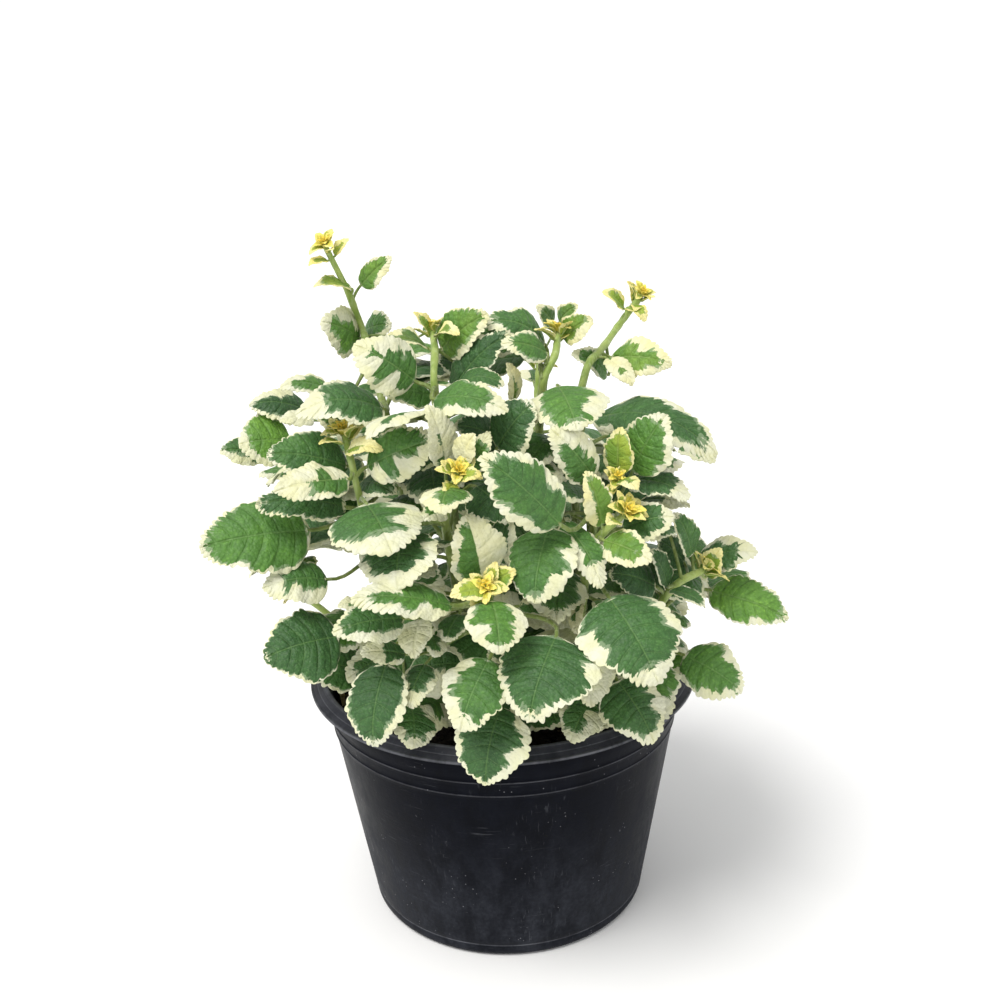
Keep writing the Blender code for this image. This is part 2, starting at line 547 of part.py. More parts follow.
def tuft_leaves(stem, count=4):
    """The young leaves crowded at a stem's tip, in crossed pairs."""
    rng = random.Random("tuft" + stem.name)
    out = []
    along = stem.point(1.0)[1]
    p, d, a, b = tip_frame(stem)
    turn0 = rng.uniform(0, 1.5)
    for i in range(count):
        pair, half = divmod(i, 2)
        ang = turn0 + pair * math.pi / 2 + half * math.pi + rng.uniform(-.2, .2)
        outw = a * math.cos(ang) + b * math.sin(ang)
        size = 1.12 * stem.tuft * (1.0 - 0.22 * pair)
        lift = 0.42 + 0.55 * pair
        root = stem.point(1.0 - 0.012 * (2 - pair))[0]
        base = root + outw * (0.9 + 0.1 * size) + d * (0.4 + 0.7 * pair)
        tip = base + (outw + d * lift).normalized() * size
        n = d - outw * 0.4
        lf = Leaf("%s_tuft_%d" % (stem.name, i), base, tip, n, size * 0.62, 0.10, 0.22, thick=0.7)
        lf.foot = root - along * 0.3
        lf.owner = stem.name
        lf.look = (.4, .4, .3, .95)
        lf.tuft = True
        out.append(lf)
    return out


def leaf_body(leaf, grow=0.35, **how):
    v, f = leaf.solid(grow=grow, **how)
    return Body(leaf.name, v, f)


def clear(body, bodies, skip=()):
    for o in bodies:
        if o.name in skip:
            continue
        if body.hits(o):
            return False
    return True


def above_soil(leaf):
    v, _ = leaf.solid()
    return all(p.z > soil_height(p.x, p.y) + 1.2 or math.hypot(p.x, p.y) > 74 for p in v)


def exposed(leaf, gaps=()):
    """True where the petiole would cross the open sky, as seen."""
    for q in leaf.petiole(5):
        x, y, z = project(q)
        if not inside(x, y, OUTLINE) or any(inside(x, y, g) for g in gaps):
            return True
    return False


def attach(leaf, stem, t):
    """Puts the petiole's foot on the stem's axis (part of the stem) or just
    off its face (a piece of its own)."""
    p, d = stem.point(t)
    if leaf.owner:
        leaf.foot = p
        return
    to = (leaf.base - p)
    to = (to - d * to.dot(d))
    if to.length < 0.1:
        to = Vector((1, 0, 0))
    leaf.foot = p + to.normalized() * (stem.radius(t) * 1.12 + GAP + 0.5)


def grow_plant(pot_bodies):
    stems = make_stems()
    notes = []
    fixed = list(pot_bodies)
    stem_body = {}
    for s in stems.values():
        v, f = s.solid(grow=0.25)
        b = Body(s.name, v, f)
        stem_body[s.name] = b
        fixed.append(b)
    tufts = []
    for s in stems.values():
        for lf in tuft_leaves(s):
            tufts.append(lf)
            b = leaf_body(lf, 0.15)
            b.name = s.name
            fixed.append(b)
    # the leaves in view: the nearest first, each then as far back as it needs
    placed = []
    order = sorted(LEAF_ROWS, key=lambda r: crown_depth(r[2], r[3]) * 0.25
                   + crown_depth((r[2] + r[4]) / 2, (r[3] + r[5]) / 2) * 0.0 + r[7] * 1.0)
    leaves = []
    for row in order:
        own = row[1]
        done = False
        base_leaf = row_leaf(row)
        tries = [0.0]
        for k in range(1, 26):
            tries.append(k * 1.0)
        for k in range(1, 13):
            tries.append(-k * 1.0)
        for sh in tries:
            lf = row_leaf(row, sh)
            options = []
            if own:
                near = []
                for st in stems.values():
                    e, t, q = st.nearest(lf.base, 0.25, 0.97)
                    near.append((e - (14.0 if st.name == own else 0.0), st.name, t))
                near.sort()
                for e, nm, t in near[:3]:
                    for tt in (t - 0.02, t - 0.05, t, t - 0.09, t + 0.03, t - 0.14):
                        if 0.1 < tt < 0.99:
                            options.append((stems[nm], tt))
            else:
                stub(lf)
                options.append(None)
            for o in options:
                if o is not None:
                    lf.owner = o[0].name
                    attach(lf, *o)
                    run = (lf.foot - lf.base).length
                    if run > 42 or (run > 16 and exposed(lf)):
                        continue
                if not above_soil(lf):
                    continue
                b = leaf_body(lf)
                if clear(b, fixed, skip=(lf.owner,)) and clear(b, placed):
                    done = True
                    lf.at = o
                    break
            if done:
                break
        if not done:
            notes.append("dropped " + row[0])
            continue
        lf.row_shift = sh
        leaves.append(lf)
        lf.body = b
        placed.append(b)
    # the petioles of the leaves that are pieces of their own reach to a stem
    for lf in leaves:
        if lf.owner:
            continue
        rest = [b for b in placed if b is not lf.body]
        near = []
        for st in stems.values():
            for k in range(12):
                t = 0.12 + 0.07 * k
                q = st.point(t)[0]
                run = q - lf.base
                if run.length > 38 or run.z > 4:
                    continue
                bend = 1.0 - run.normalized().dot(lf.start_dir())
                near.append((run.length * (1.0 + 0.8 * bend), st.name, t))
        near.sort()
        keep = lf.foot.copy()
        for e, nm, t in near[:14]:
            attach(lf, stems[nm], t)
            if not above_soil(lf) or ((lf.foot - lf.base).length > 16 and exposed(lf)):
                continue
            b = leaf_body(lf, 0.25)
            if clear(b, fixed) and clear(b, rest):
                keep = lf.foot.copy()
                placed[placed.index(lf.body)] = b
                lf.body = b
                lf.held = nm
                break
        lf.foot = keep
        if not hasattr(lf, "held"):
            notes.append("short petiole " + lf.name)
    return stems, tufts, leaves, fixed, placed, notes
# ---------------------------------------------------------------------------
# The leaves that the view hides: inside, at the sides and at the back
# ---------------------------------------------------------------------------
# the bush's outline as seen, and the places where daylight shows through it
OUTLINE = [(203, 570), (200, 530), (250, 498), (272, 480), (225, 470), (221, 445), (244, 415),
           (250, 392), (284, 377), (330, 378), (352, 384), (352, 352), (327, 347), (325, 305),
           (352, 300), (390, 318), (400, 332), (428, 336), (418, 312), (442, 314), (487, 309),
           (530, 305), (576, 303), (592, 320), (588, 348), (574, 352), (574, 384), (596, 384),
           (605, 366), (628, 342), (660, 345), (670, 362), (650, 378), (630, 384), (604, 400),
           (640, 396), (690, 408), (717, 440), (716, 460), (684, 462), (668, 474), (690, 496),
           (672, 508), (694, 528), (740, 536), (758, 560), (745, 572), (772, 580), (788, 612),
           (770, 627), (735, 615), (706, 598), (690, 612), (700, 640), (735, 655), (744, 690),
           (722, 704), (686, 704), (672, 738), (560, 744), (400, 745), (345, 700), (300, 676),
           (268, 668), (266, 650), (300, 616), (330, 606), (268, 602), (255, 580)]
DAYLIGHT = [[(312, 540), (352, 552), (372, 566), (366, 590), (350, 604), (300, 604), (334, 592), (326, 572)],
            [(548, 362), (566, 352), (576, 362), (574, 386), (546, 382)],
            [(612, 384), (670, 378), (700, 400), (640, 394), (600, 402)]]


def inside(x, y, poly):
    c = False
    for i in range(len(poly)):
        (x1, y1), (x2, y2) = poly[i - 1], poly[i]
        if (y1 > y) != (y2 > y) and x < (x2 - x1) * (y - y1) / (y2 - y1) + x1:
            c = not c
    return c


def footprints(leaves):
    """Each leaf in view as a polygon with its mean depth."""
    out = []
    for lf in leaves:
        ring = [lf.surf(u, -1) for u in (.08, .3, .55, .8)] + [lf.mid(1.0)] \
            + [lf.surf(u, 1) for u in (.8, .55, .3, .08)]
        pts = [project(p) for p in ring]
        xs, ys = [p[0] for p in pts], [p[1] for p in pts]
        out.append(([(p[0], p[1]) for p in pts], sum(p[2] for p in pts) / len(pts),
                    (min(xs), min(ys), max(xs), max(ys))))
    return out


def hides(leaf, prints):
    """True where the leaf would stand before one that the view shows, or
    outside the outline of the bush."""
    for u, v in ((.1, 0), (.3, -1), (.3, 0), (.3, 1), (.6, -1), (.6, 0), (.6, 1), (.85, -.9), (.85, .9), (1, 0)):
        x, y, z = project(leaf.surf(u, v) if u < 1 else leaf.mid(1.0))
        if not inside(x, y, OUTLINE):
            return True
        for d in DAYLIGHT:
            if inside(x, y, d):
                return True
        for poly, depth, box in prints:
            if z < depth - 3 and box[0] < x < box[2] and box[1] < y < box[3] and inside(x, y, poly):
                return True
    return False


def in_crown(p, slack=1.0):
    q = Vector([(p[i] - CROWN_C[i]) / (CROWN_R[i] + 22 * slack) for i in range(3)])
    return q.length < 1.0


def fill_leaves(stems, fixed, placed, shown, limit=90):
    prints = footprints(shown)
    out = []
    for name, s in stems.items():
        rng = random.Random("fill" + name)
        front = not name.startswith("b")
        nodes = int(s.length / (21.0 if front else 11.0))
        twist = rng.uniform(0, 3.1)
        for i in range(nodes):
            t = 0.97 - i * (0.80 / nodes) - (0.05 if front else 0.0)
            if t < (0.20 if front else 0.14) or (front and t > 0.80):
                continue
            p, d = s.point(t)
            age = min(1.0, i / 4.0)
            size = 17 + 24 * age
            for half in (0, 1):
                best = None
                for k in range(26):
                    ang = twist + i * math.pi / 2 + half * math.pi + rng.uniform(-.9, .9) * (k / 13.0)
                    outw = Vector((math.cos(ang), math.sin(ang), 0))
                    rad = Vector((p.x, p.y, 0))
                    rad = rad.normalized() if rad.length > 8 else outw
                    if not front and outw.dot(rad) < -0.3 and k < 12:
                        outw = (outw + rad * 0.7).normalized()
                    lift = rng.uniform(0.05, 0.65) - 0.35 * age * rng.random()
                    L = size * rng.uniform(.82, 1.12) * (1.0 if k < 12 else .78)
                    stalk = rng.uniform(.22, .42) * L + 3
                    base = p + (outw + Vector((0, 0, lift + .25))).normalized() * (stalk + s.radius(t))
                    run = (outw + Vector((0, 0, lift * .5 - .28 * age))).normalized()
                    tip = base + run * L
                    n = Vector((0, 0, 1)) + outw * rng.uniform(.1, .7) + rad * 0.35 \
                        + Vector((rng.uniform(-.35, .35), rng.uniform(-.35, .35), 0))
                    lf = Leaf("%s_leaf_%d%s" % (name, i, "ab"[half]), base, tip, n,
                              L * rng.uniform(.66, .82), rng.uniform(.06, .15), -rng.uniform(.04, .2))
                    lf.owner = name
                    lf.foot = p
                    if not in_crown(tip) or not above_soil(lf):
                        continue
                    if math.hypot(tip.x, tip.y) > 66 and tip.z < POT_H + 8:
                        continue
                    if hides(lf, prints) or exposed(lf, DAYLIGHT):
                        continue
                    b = leaf_body(lf, 0.45, rings=(0.12, 0.45, 0.82), bends=1)
                    if clear(b, fixed, skip=(name,)) and clear(b, placed):
                        best = (lf, b)
                        break
                if best:
                    lf, b = best
                    u = rng.random()
                    a, c = rng.uniform(.04, .35), rng.uniform(.04, .35)
                    if u > .72:
                        a = rng.uniform(.5, .95)
                    elif u > .60:
                        c = rng.uniform(.5, .95)
                    lf.look = (a, c, rng.uniform(.05, .3), max(0.0, .32 - .12 * i))
                    placed.append(b)
                    out.append(lf)
    return out


def gaps_between(prints):
    """Places in the bush, as seen, where no leaf stands yet."""
    spots = []
    for y in range(300, 742, 8):
        for x in range(204, 788, 8):
            if not inside(x, y, OUTLINE) or any(inside(x, y, d) for d in DAYLIGHT):
                continue
            if not any(b[0] < x < b[2] and b[1] < y < b[3] and inside(x, y, p) for p, _, b in prints):
                spots.append((x, y))
    return spots


def close_gaps(stems, fixed, placed, shown, hidden):
    """More leaves behind those in view, where one would look right through
    the bush; each grows from the stem nearest to it."""
    rng = random.Random("gaps")
    front = footprints(shown)
    prints = front + footprints(hidden)
    out = []
    for turn_no, (small, large, tries) in enumerate(((24, 36, 22), (16, 25, 22), (11, 17, 16))):
        spots = gaps_between(prints)
        rng.shuffle(spots)
        for x, y in spots:
            if any(b[0] < x < b[2] and b[1] < y < b[3] and inside(x, y, p) for p, _, b in prints):
                continue
            for k in range(tries):
                c = at(x + rng.uniform(-4, 4), y + rng.uniform(-4, 4), rng.uniform(3, 34))
                if not in_crown(c) or c.z < POT_H + 2:
                    continue
                L = rng.uniform(small, large)
                near = []
                for s in stems.values():
                    e, t, q = s.nearest(c - Vector((0, 0, 0.5 * L)), 0.15, 0.95, 16)
                    near.append((e * rng.uniform(.8, 1.25), s.name, t))
                near.sort()
                name, t = near[0][1:]
                s = stems[name]
                q = s.point(t)[0]
                run = c - q
                if run.length > 24 + 0.4 * L or run.length < 0.4 * L:
                    continue
                flat = Vector((run.x, run.y, 0))
                flat = flat.normalized() if flat.length > 2 else Vector((0, -1, 0))
                d = turn(flat, Vector((0, 0, 1)), rng.uniform(-.8, .8)) + Vector((0, 0, rng.uniform(-.35, .35)))
                d.normalize()
                n = Vector((0, 0, 1)) - ray(x, y).normalized() * rng.uniform(.2, 1.3) \
                    + Vector((rng.uniform(-.3, .3), rng.uniform(-.3, .3), 0))
                lf = Leaf("%s_gap_%d_%d" % (name, turn_no, len(out)), c - d * (0.5 * L), c + d * (0.5 * L), n,
                          L * rng.uniform(.68, .86), rng.uniform(.06, .14), -rng.uniform(.04, .18))
                lf.owner = name
                lf.foot = q
                if math.hypot(lf.tip.x, lf.tip.y) > 66 and lf.tip.z < POT_H + 8:
                    continue
                if hides(lf, front) or exposed(lf, DAYLIGHT) or not above_soil(lf):
                    continue
                b = leaf_body(lf, 0.45, rings=(0.12, 0.45, 0.82), bends=1)
                if clear(b, fixed, skip=(name,)) and clear(b, placed):
                    u = rng.random()
                    lf.look = (rng.uniform(.5, .9) if u > .88 else rng.uniform(.03, .30),
                               rng.uniform(.5, .9) if u < .10 else rng.uniform(.03, .30), rng.uniform(.03, .22), 0.0)
                    placed.append(b)
                    out.append(lf)
                    prints += footprints([lf])
                    break
    return out
# ---------------------------------------------------------------------------
# Pot and soil
# ---------------------------------------------------------------------------
def wall_r(z):
    """Outer radius of the pot's wall at the height z, under the rim."""
    return BASE_R + (NECK_R - BASE_R) * z / (POT_H - 7.0)


def pot_profile(fine=False):
    """(radius, height) from the middle of the underside, out and up the
    outside, over the lip, which rolls outward and down, and down the inside
    to the middle of the floor."""
    H = POT_H
    p = [(BASE_R - 4.5, 0.0)]
    steps = 6 if fine else 3
    for i in range(1, steps + 1):
        a = -math.pi / 2 + (math.pi / 2) * i / steps
        r = 3.2
        p.append((wall_r(r) - r + r * math.cos(a), r + r * math.sin(a)))
    for z0 in (H - 18.5, H - 12.4):                       # the two raised lines
        if fine:
            p += [(wall_r(z0 - 1.0), z0 - 1.0), (wall_r(z0) + 0.55, z0 - 0.35),
                  (wall_r(z0) + 0.6, z0), (wall_r(z0) + 0.55, z0 + 0.35), (wall_r(z0 + 1.0), z0 + 1.0)]
        else:
            p += [(wall_r(z0 - 1.0), z0 - 1.0), (wall_r(z0) + 0.6, z0), (wall_r(z0 + 1.0), z0 + 1.0)]
    p += [(NECK_R, H - 7.0), (NECK_R + 0.25, H - 2.6)]
    if fine:                                              # under the rolled lip, and its edge
        p += [(NECK_R + 0.7, H - 1.7), (RIM_R - 1.2, H - 1.35), (RIM_R - 0.35, H - 1.25), (RIM_R - 0.05, H - 0.9),
              (RIM_R, H - 0.45), (RIM_R - 0.15, H - 0.1), (RIM_R - 0.6, H + 0.12)]
        p += [(RIM_R - 1.3, H + 0.38), (RIM_R - 1.55, H + 0.72), (RIM_R - 2.9, H + 1.42), (RIM_R - 3.15, H + 1.82),
              (RIM_R - 4.7, H + 2.72), (RIM_R - 5.3, H + 3.15), (RIM_R - 5.75, H + 3.28), (RIM_R - 6.3, H + 3.1),
              (RIM_R - 6.9, H + 2.3)]
    else:
        p += [(NECK_R + 0.8, H - 1.6), (RIM_R - 0.4, H - 1.25), (RIM_R, H - 0.45), (RIM_R - 0.6, H + 0.2),
              (RIM_R - 4.9, H + 2.9), (RIM_R - 5.8, H + RIM_RISE), (RIM_R - 6.9, H + 2.3)]
    p += [(NECK_R - WALL - 0.3, H - 1.0), (NECK_R - WALL - 0.5, H - 6.4)]
    p += [(wall_r(FLOOR + 3) - WALL, FLOOR + 3.0), (wall_r(FLOOR) - WALL - 2.4, FLOOR + 0.6),
          (wall_r(FLOOR) - WALL - 5.0, FLOOR)]
    return p


def lathe(profile, seg, closed_bottom=0.0, closed_top=0.0):
    """Turned solid from an open profile whose two ends close on the axis."""
    verts, faces = [], []
    for r, z in profile:
        for k in range(seg):
            a = 2 * math.pi * k / seg
            verts.append(Vector((r * math.cos(a), r * math.sin(a), z)))
    n = len(profile)
    for i in range(n - 1):
        for k in range(seg):
            a, b = i * seg + k, i * seg + (k + 1) % seg
            faces.append((a, b, b + seg, a + seg))
    verts.append(Vector((0, 0, profile[0][1] + closed_bottom)))
    verts.append(Vector((0, 0, profile[-1][1] + closed_top)))
    lo, hi = len(verts) - 2, len(verts) - 1
    for k in range(seg):
        faces.append((lo, (k + 1) % seg, k))
        faces.append((hi, (n - 1) * seg + k, (n - 1) * seg + (k + 1) % seg))
    return verts, faces


def soil_profile():
    g = GAP
    zt = SOIL_Z
    p = [(wall_r(FLOOR) - WALL - 5.0 - g, FLOOR + g), (wall_r(FLOOR) - WALL - 2.6 - g, FLOOR + 0.8 + g),
         (wall_r(FLOOR + 3) - WALL - g, FLOOR + 3.2 + g)]
    p.append((wall_r(zt - 1) - WALL - g - 0.35, zt - 1.0))
    for r in (66.0, 48.0, 26.0):
        p.append((r, soil_height(r, 0)))
    return p


def pot_bodies():
    v, f = lathe(pot_profile(), 40)
    return [Body("pot", v, f)]
# ---------------------------------------------------------------------------
# Making the objects
# ---------------------------------------------------------------------------
def clear_scene():
    for o in list(bpy.data.objects):
        bpy.data.objects.remove(o, do_unlink=True)


def material(name, colour, rough=0.6, metal=0.0):
    m = bpy.data.materials.new(name)
    m.use_nodes = True
    b = m.node_tree.nodes.get("Principled BSDF")
    b.inputs["Base Color"].default_value = (*colour, 1.0)
    b.inputs["Roughness"].default_value = rough
    b.inputs["Metallic"].default_value = metal
    m.diffuse_color = (*colour, 1.0)
    return m


def make_mesh(name, verts, faces, smooth_angle=None):
    me = bpy.data.meshes.new(name)
    me.from_pydata([tuple(v * 0.001) for v in verts], [], faces)
    me.validate()
    me.update()
    return me


def make_object(name, verts, faces, mat, round_shape=True):
    me = make_mesh(name, verts, faces)
    ob = bpy.data.objects.new(name, me)
    bpy.context.scene.collection.objects.link(ob)
    ob.data.materials.append(mat)
    if round_shape:
        ob.data.shade_smooth()
        ob.data.set_sharp_from_angle(angle=math.radians(40))
    return ob


def whole(me):
    """True where the mesh is closed and hangs together as one body."""
    bm = bmesh.new()
    bm.from_mesh(me)
    ok = all(len(e.link_faces) == 2 for e in bm.edges) and len(bm.faces) > 0
    if ok:
        bm.faces.ensure_lookup_table()
        seen = {bm.faces[0].index}
        todo = [bm.faces[0]]
        while todo:
            for e in todo.pop().edges:
                for g in e.link_faces:
                    if g.index not in seen:
                        seen.add(g.index)
                        todo.append(g)
        ok = len(seen) == len(bm.faces)
    volume = bm.calc_volume()
    bm.free()
    return ok, volume


def union(ob, parts):
    """Joins the closed parts to ob, one after the other.  A part that would
    leave the body open or in two is joined with the other solver."""
    left = 0
    for verts, faces in parts:
        before = whole(ob.data)[1]
        for solver, nudge in (('EXACT', 0.0), ('MANIFOLD', 0.0), ('EXACT', 0.06), ('MANIFOLD', 0.06)):
            moved = [p + Vector((nudge, -nudge, 0.7 * nudge)) for p in verts]
            cut = make_object("joining", moved, faces, ob.data.materials[0], False)
            mod = ob.modifiers.new("join", 'BOOLEAN')
            mod.operation = 'UNION'
            mod.solver = solver
            mod.object = cut
            bpy.context.view_layer.update()
            dg = bpy.context.evaluated_depsgraph_get()
            me = bpy.data.meshes.new_from_object(ob.evaluated_get(dg))
            ob.modifiers.clear()
            bpy.data.objects.remove(cut, do_unlink=True)
            ok, volume = whole(me)
            if ok and volume > before:
                ob.data = me
                break
        else:
            left += 1
            print("not joined:", ob.name)
    return ob


def main():
    clear_scene()
    black = material("pot_plastic", (0.012, 0.013, 0.018), 0.42)
    earth = material("potting_soil", (0.018, 0.012, 0.008), 0.95)
    green = material("leaf_green", (0.085, 0.19, 0.055), 0.55)
    cream = material("leaf_cream", (0.62, 0.60, 0.38), 0.55)
    young = material("shoot_yellow_green", (0.30, 0.38, 0.10), 0.55)

    # pot, with drain holes round the floor
    v, f = lathe(pot_profile(), 40)
    pot = make_object("pot", v, f, black)
    for i in range(HOLES):
        a = 2 * math.pi * (i + 0.5) / HOLES + 0.043
        c = Vector((HOLE_RING * math.cos(a), HOLE_RING * math.sin(a), 0))
        hv, hf = lathe([(HOLE_R, -3.0), (HOLE_R, FLOOR + 3.0)], 10)
        hole = make_object("drain_hole_cutter_%d" % i, [q + c for q in hv], hf, black, False)
        hole.hide_render = True
        hole.display_type = 'WIRE'
        m = pot.modifiers.new("drain_%d" % i, 'BOOLEAN')
        m.operation = 'DIFFERENCE'
        m.solver = 'EXACT'
        m.object = hole

    v, f = lathe(soil_profile(), 40, 0.0, SOIL_RISE - (SOIL_RISE * (1 - (26 / 70.0) ** 2)))
    make_object("potting_soil", v, f, earth)

    stems, tufts, leaves, fixed, placed, notes = grow_plant(pot_bodies())
    hidden = fill_leaves(stems, fixed, placed, leaves)
    hidden += close_gaps(stems, fixed, placed, leaves, hidden)

    # the stems, each with its tuft and the leaves that grow from it
    for name, s in stems.items():
        v, f = s.solid()
        ob = make_object("shoot_" + name, v, f, young)
        parts = [lf.solid(rings=(0.14, 0.60), bends=1) for lf in tufts if lf.owner == name]
        parts += [lf.solid(rings=(0.12, 0.45, 0.82)) for lf in leaves if lf.owner == name]
        parts += [lf.solid(rings=(0.12, 0.45, 0.82), bends=1) for lf in hidden if lf.owner == name]
        union(ob, parts)
        ob.data.shade_smooth()
        ob.data.set_sharp_from_angle(angle=math.radians(40))

    # the large leaves, each a piece of its own
    for lf in leaves:
        if lf.owner:
            continue
        v, f = lf.solid()
        pale = lf.look[0] + lf.look[1] > 1.0
        make_object(lf.name, v, f, cream if pale else green)
    print("leaves", len(leaves), "hidden", len(hidden), notes)


main()
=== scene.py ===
"""Looks of the potted herb: scalloped, cream-edged leaves with veins and down,
square stems with golden young tips, loose potting soil and a dusty black
nursery pot, on a pale floor in soft light.

The plant is laid out by the same rules as its solids, so every leaf lies
where its solid lies.  Lengths are in millimetres until a mesh is made.
"""
import math
import random

import bmesh
import bpy
import numpy as np
from mathutils import Matrix, Vector
from mathutils.bvhtree import BVHTree


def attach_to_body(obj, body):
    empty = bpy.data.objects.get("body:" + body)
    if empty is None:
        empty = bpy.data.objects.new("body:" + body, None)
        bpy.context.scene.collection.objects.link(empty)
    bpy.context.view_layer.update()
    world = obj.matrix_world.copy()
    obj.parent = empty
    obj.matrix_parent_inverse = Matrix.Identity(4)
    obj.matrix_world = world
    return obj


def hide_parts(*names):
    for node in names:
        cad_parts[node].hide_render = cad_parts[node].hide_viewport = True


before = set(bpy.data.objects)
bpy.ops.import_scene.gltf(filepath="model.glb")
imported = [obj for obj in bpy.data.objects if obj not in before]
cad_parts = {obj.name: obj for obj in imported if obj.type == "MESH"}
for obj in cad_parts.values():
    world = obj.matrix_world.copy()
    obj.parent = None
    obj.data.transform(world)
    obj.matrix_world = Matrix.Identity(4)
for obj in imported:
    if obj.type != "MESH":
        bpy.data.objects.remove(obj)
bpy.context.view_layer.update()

HOLES = 6               # drain holes through the pot's floor
HOLE_R = 4.5            # their radius
HOLE_RING = 38.0        # how far they lie from the middle

# ---------------------------------------------------------------------------
# Driving dimensions, in millimetres (the meshes are written in metres)
# ---------------------------------------------------------------------------
RIM_R = 80.0            # outer radius of the pot's lip
POT_H = 100.0           # height of the lip's outer edge
RIM_RISE = 3.3          # how far the rim's inner edge stands over it
BASE_R = 58.0           # radius where the wall would meet the ground
NECK_R = 73.4           # outer radius of the wall just under the flared rim
WALL = 1.4              # wall of the pot
FLOOR = 2.2             # floor of the pot
SOIL_Z = 86.5           # level of the potting soil at the wall
SOIL_RISE = 4.5         # how much it mounds up at the middle
GAP = 0.35              # clearance between pieces that touch

# ---------------------------------------------------------------------------
# The view in which the plant's visible leaves were laid out.  A leaf is
# written down by where its base and its tip are seen from this standpoint,
# in thousandths of the picture's width; the functions below carry that into
# space, onto the rounded outline of the crown.
# ---------------------------------------------------------------------------
FOCAL = 1200.0
VIEW_EL = math.radians(25.797)
VIEW_DIST = 509.88
VIEW_ROLL = math.radians(-1.912)
VIEW_YAW = math.radians(-0.139)
VIEW_PITCH = math.radians(7.864)


def turn(v, k, a):
    return v * math.cos(a) + k.cross(v) * math.sin(a) + k * k.dot(v) * (1 - math.cos(a))


def view_axes():
    back = Vector((0, -math.cos(VIEW_EL), math.sin(VIEW_EL)))
    eye = Vector((0, 0, POT_H)) + back * VIEW_DIST
    fwd = -back
    right = Vector((1, 0, 0))
    up = right.cross(fwd)
    fwd, right = turn(fwd, up, VIEW_YAW), turn(right, up, VIEW_YAW)
    fwd, up = turn(fwd, right, VIEW_PITCH), turn(up, right, VIEW_PITCH)
    c, s = math.cos(VIEW_ROLL), math.sin(VIEW_ROLL)
    return eye, fwd, right * c + up * s, up * c - right * s


EYE, FWD, RIGHT, UP = view_axes()


def ray(px, py):
    return FWD + RIGHT * ((px - 500.0) / FOCAL) - UP * ((py - 500.0) / FOCAL)


def project(p):
    q = p - EYE
    z = q.dot(FWD)
    return 500 + FOCAL * q.dot(RIGHT) / z, 500 - FOCAL * q.dot(UP) / z, z


# the crown is a rounded bush: an ellipsoid standing on the rim
CROWN_C = Vector((-2.0, 0.0, POT_H + 50.0))
CROWN_R = Vector((90.0, 86.0, 98.0))


def crown_depth(px, py):
    d = ray(px, py)
    q = Vector([(EYE[i] - CROWN_C[i]) / CROWN_R[i] for i in range(3)])
    e = Vector([d[i] / CROWN_R[i] for i in range(3)])
    a, b, c = e.dot(e), 2 * q.dot(e), q.dot(q) - 1
    tm = -b / (2 * a)
    disc = b * b - 4 * a * c
    return tm - (math.sqrt(disc) / (2 * a) if disc > 0 else 0.0)


def at(px, py, d=0.0):
    return EYE + ray(px, py) * (crown_depth(px, py) + d)


# ---------------------------------------------------------------------------
# Leaves
# ---------------------------------------------------------------------------
def half_width(u):
    """Outline of an ovate leaf: 1 at its widest, rounded base, blunt tip."""
    if u <= 0.0 or u >= 1.0:
        return 0.0
    return math.sin(math.pi * u ** 0.80) ** 0.70


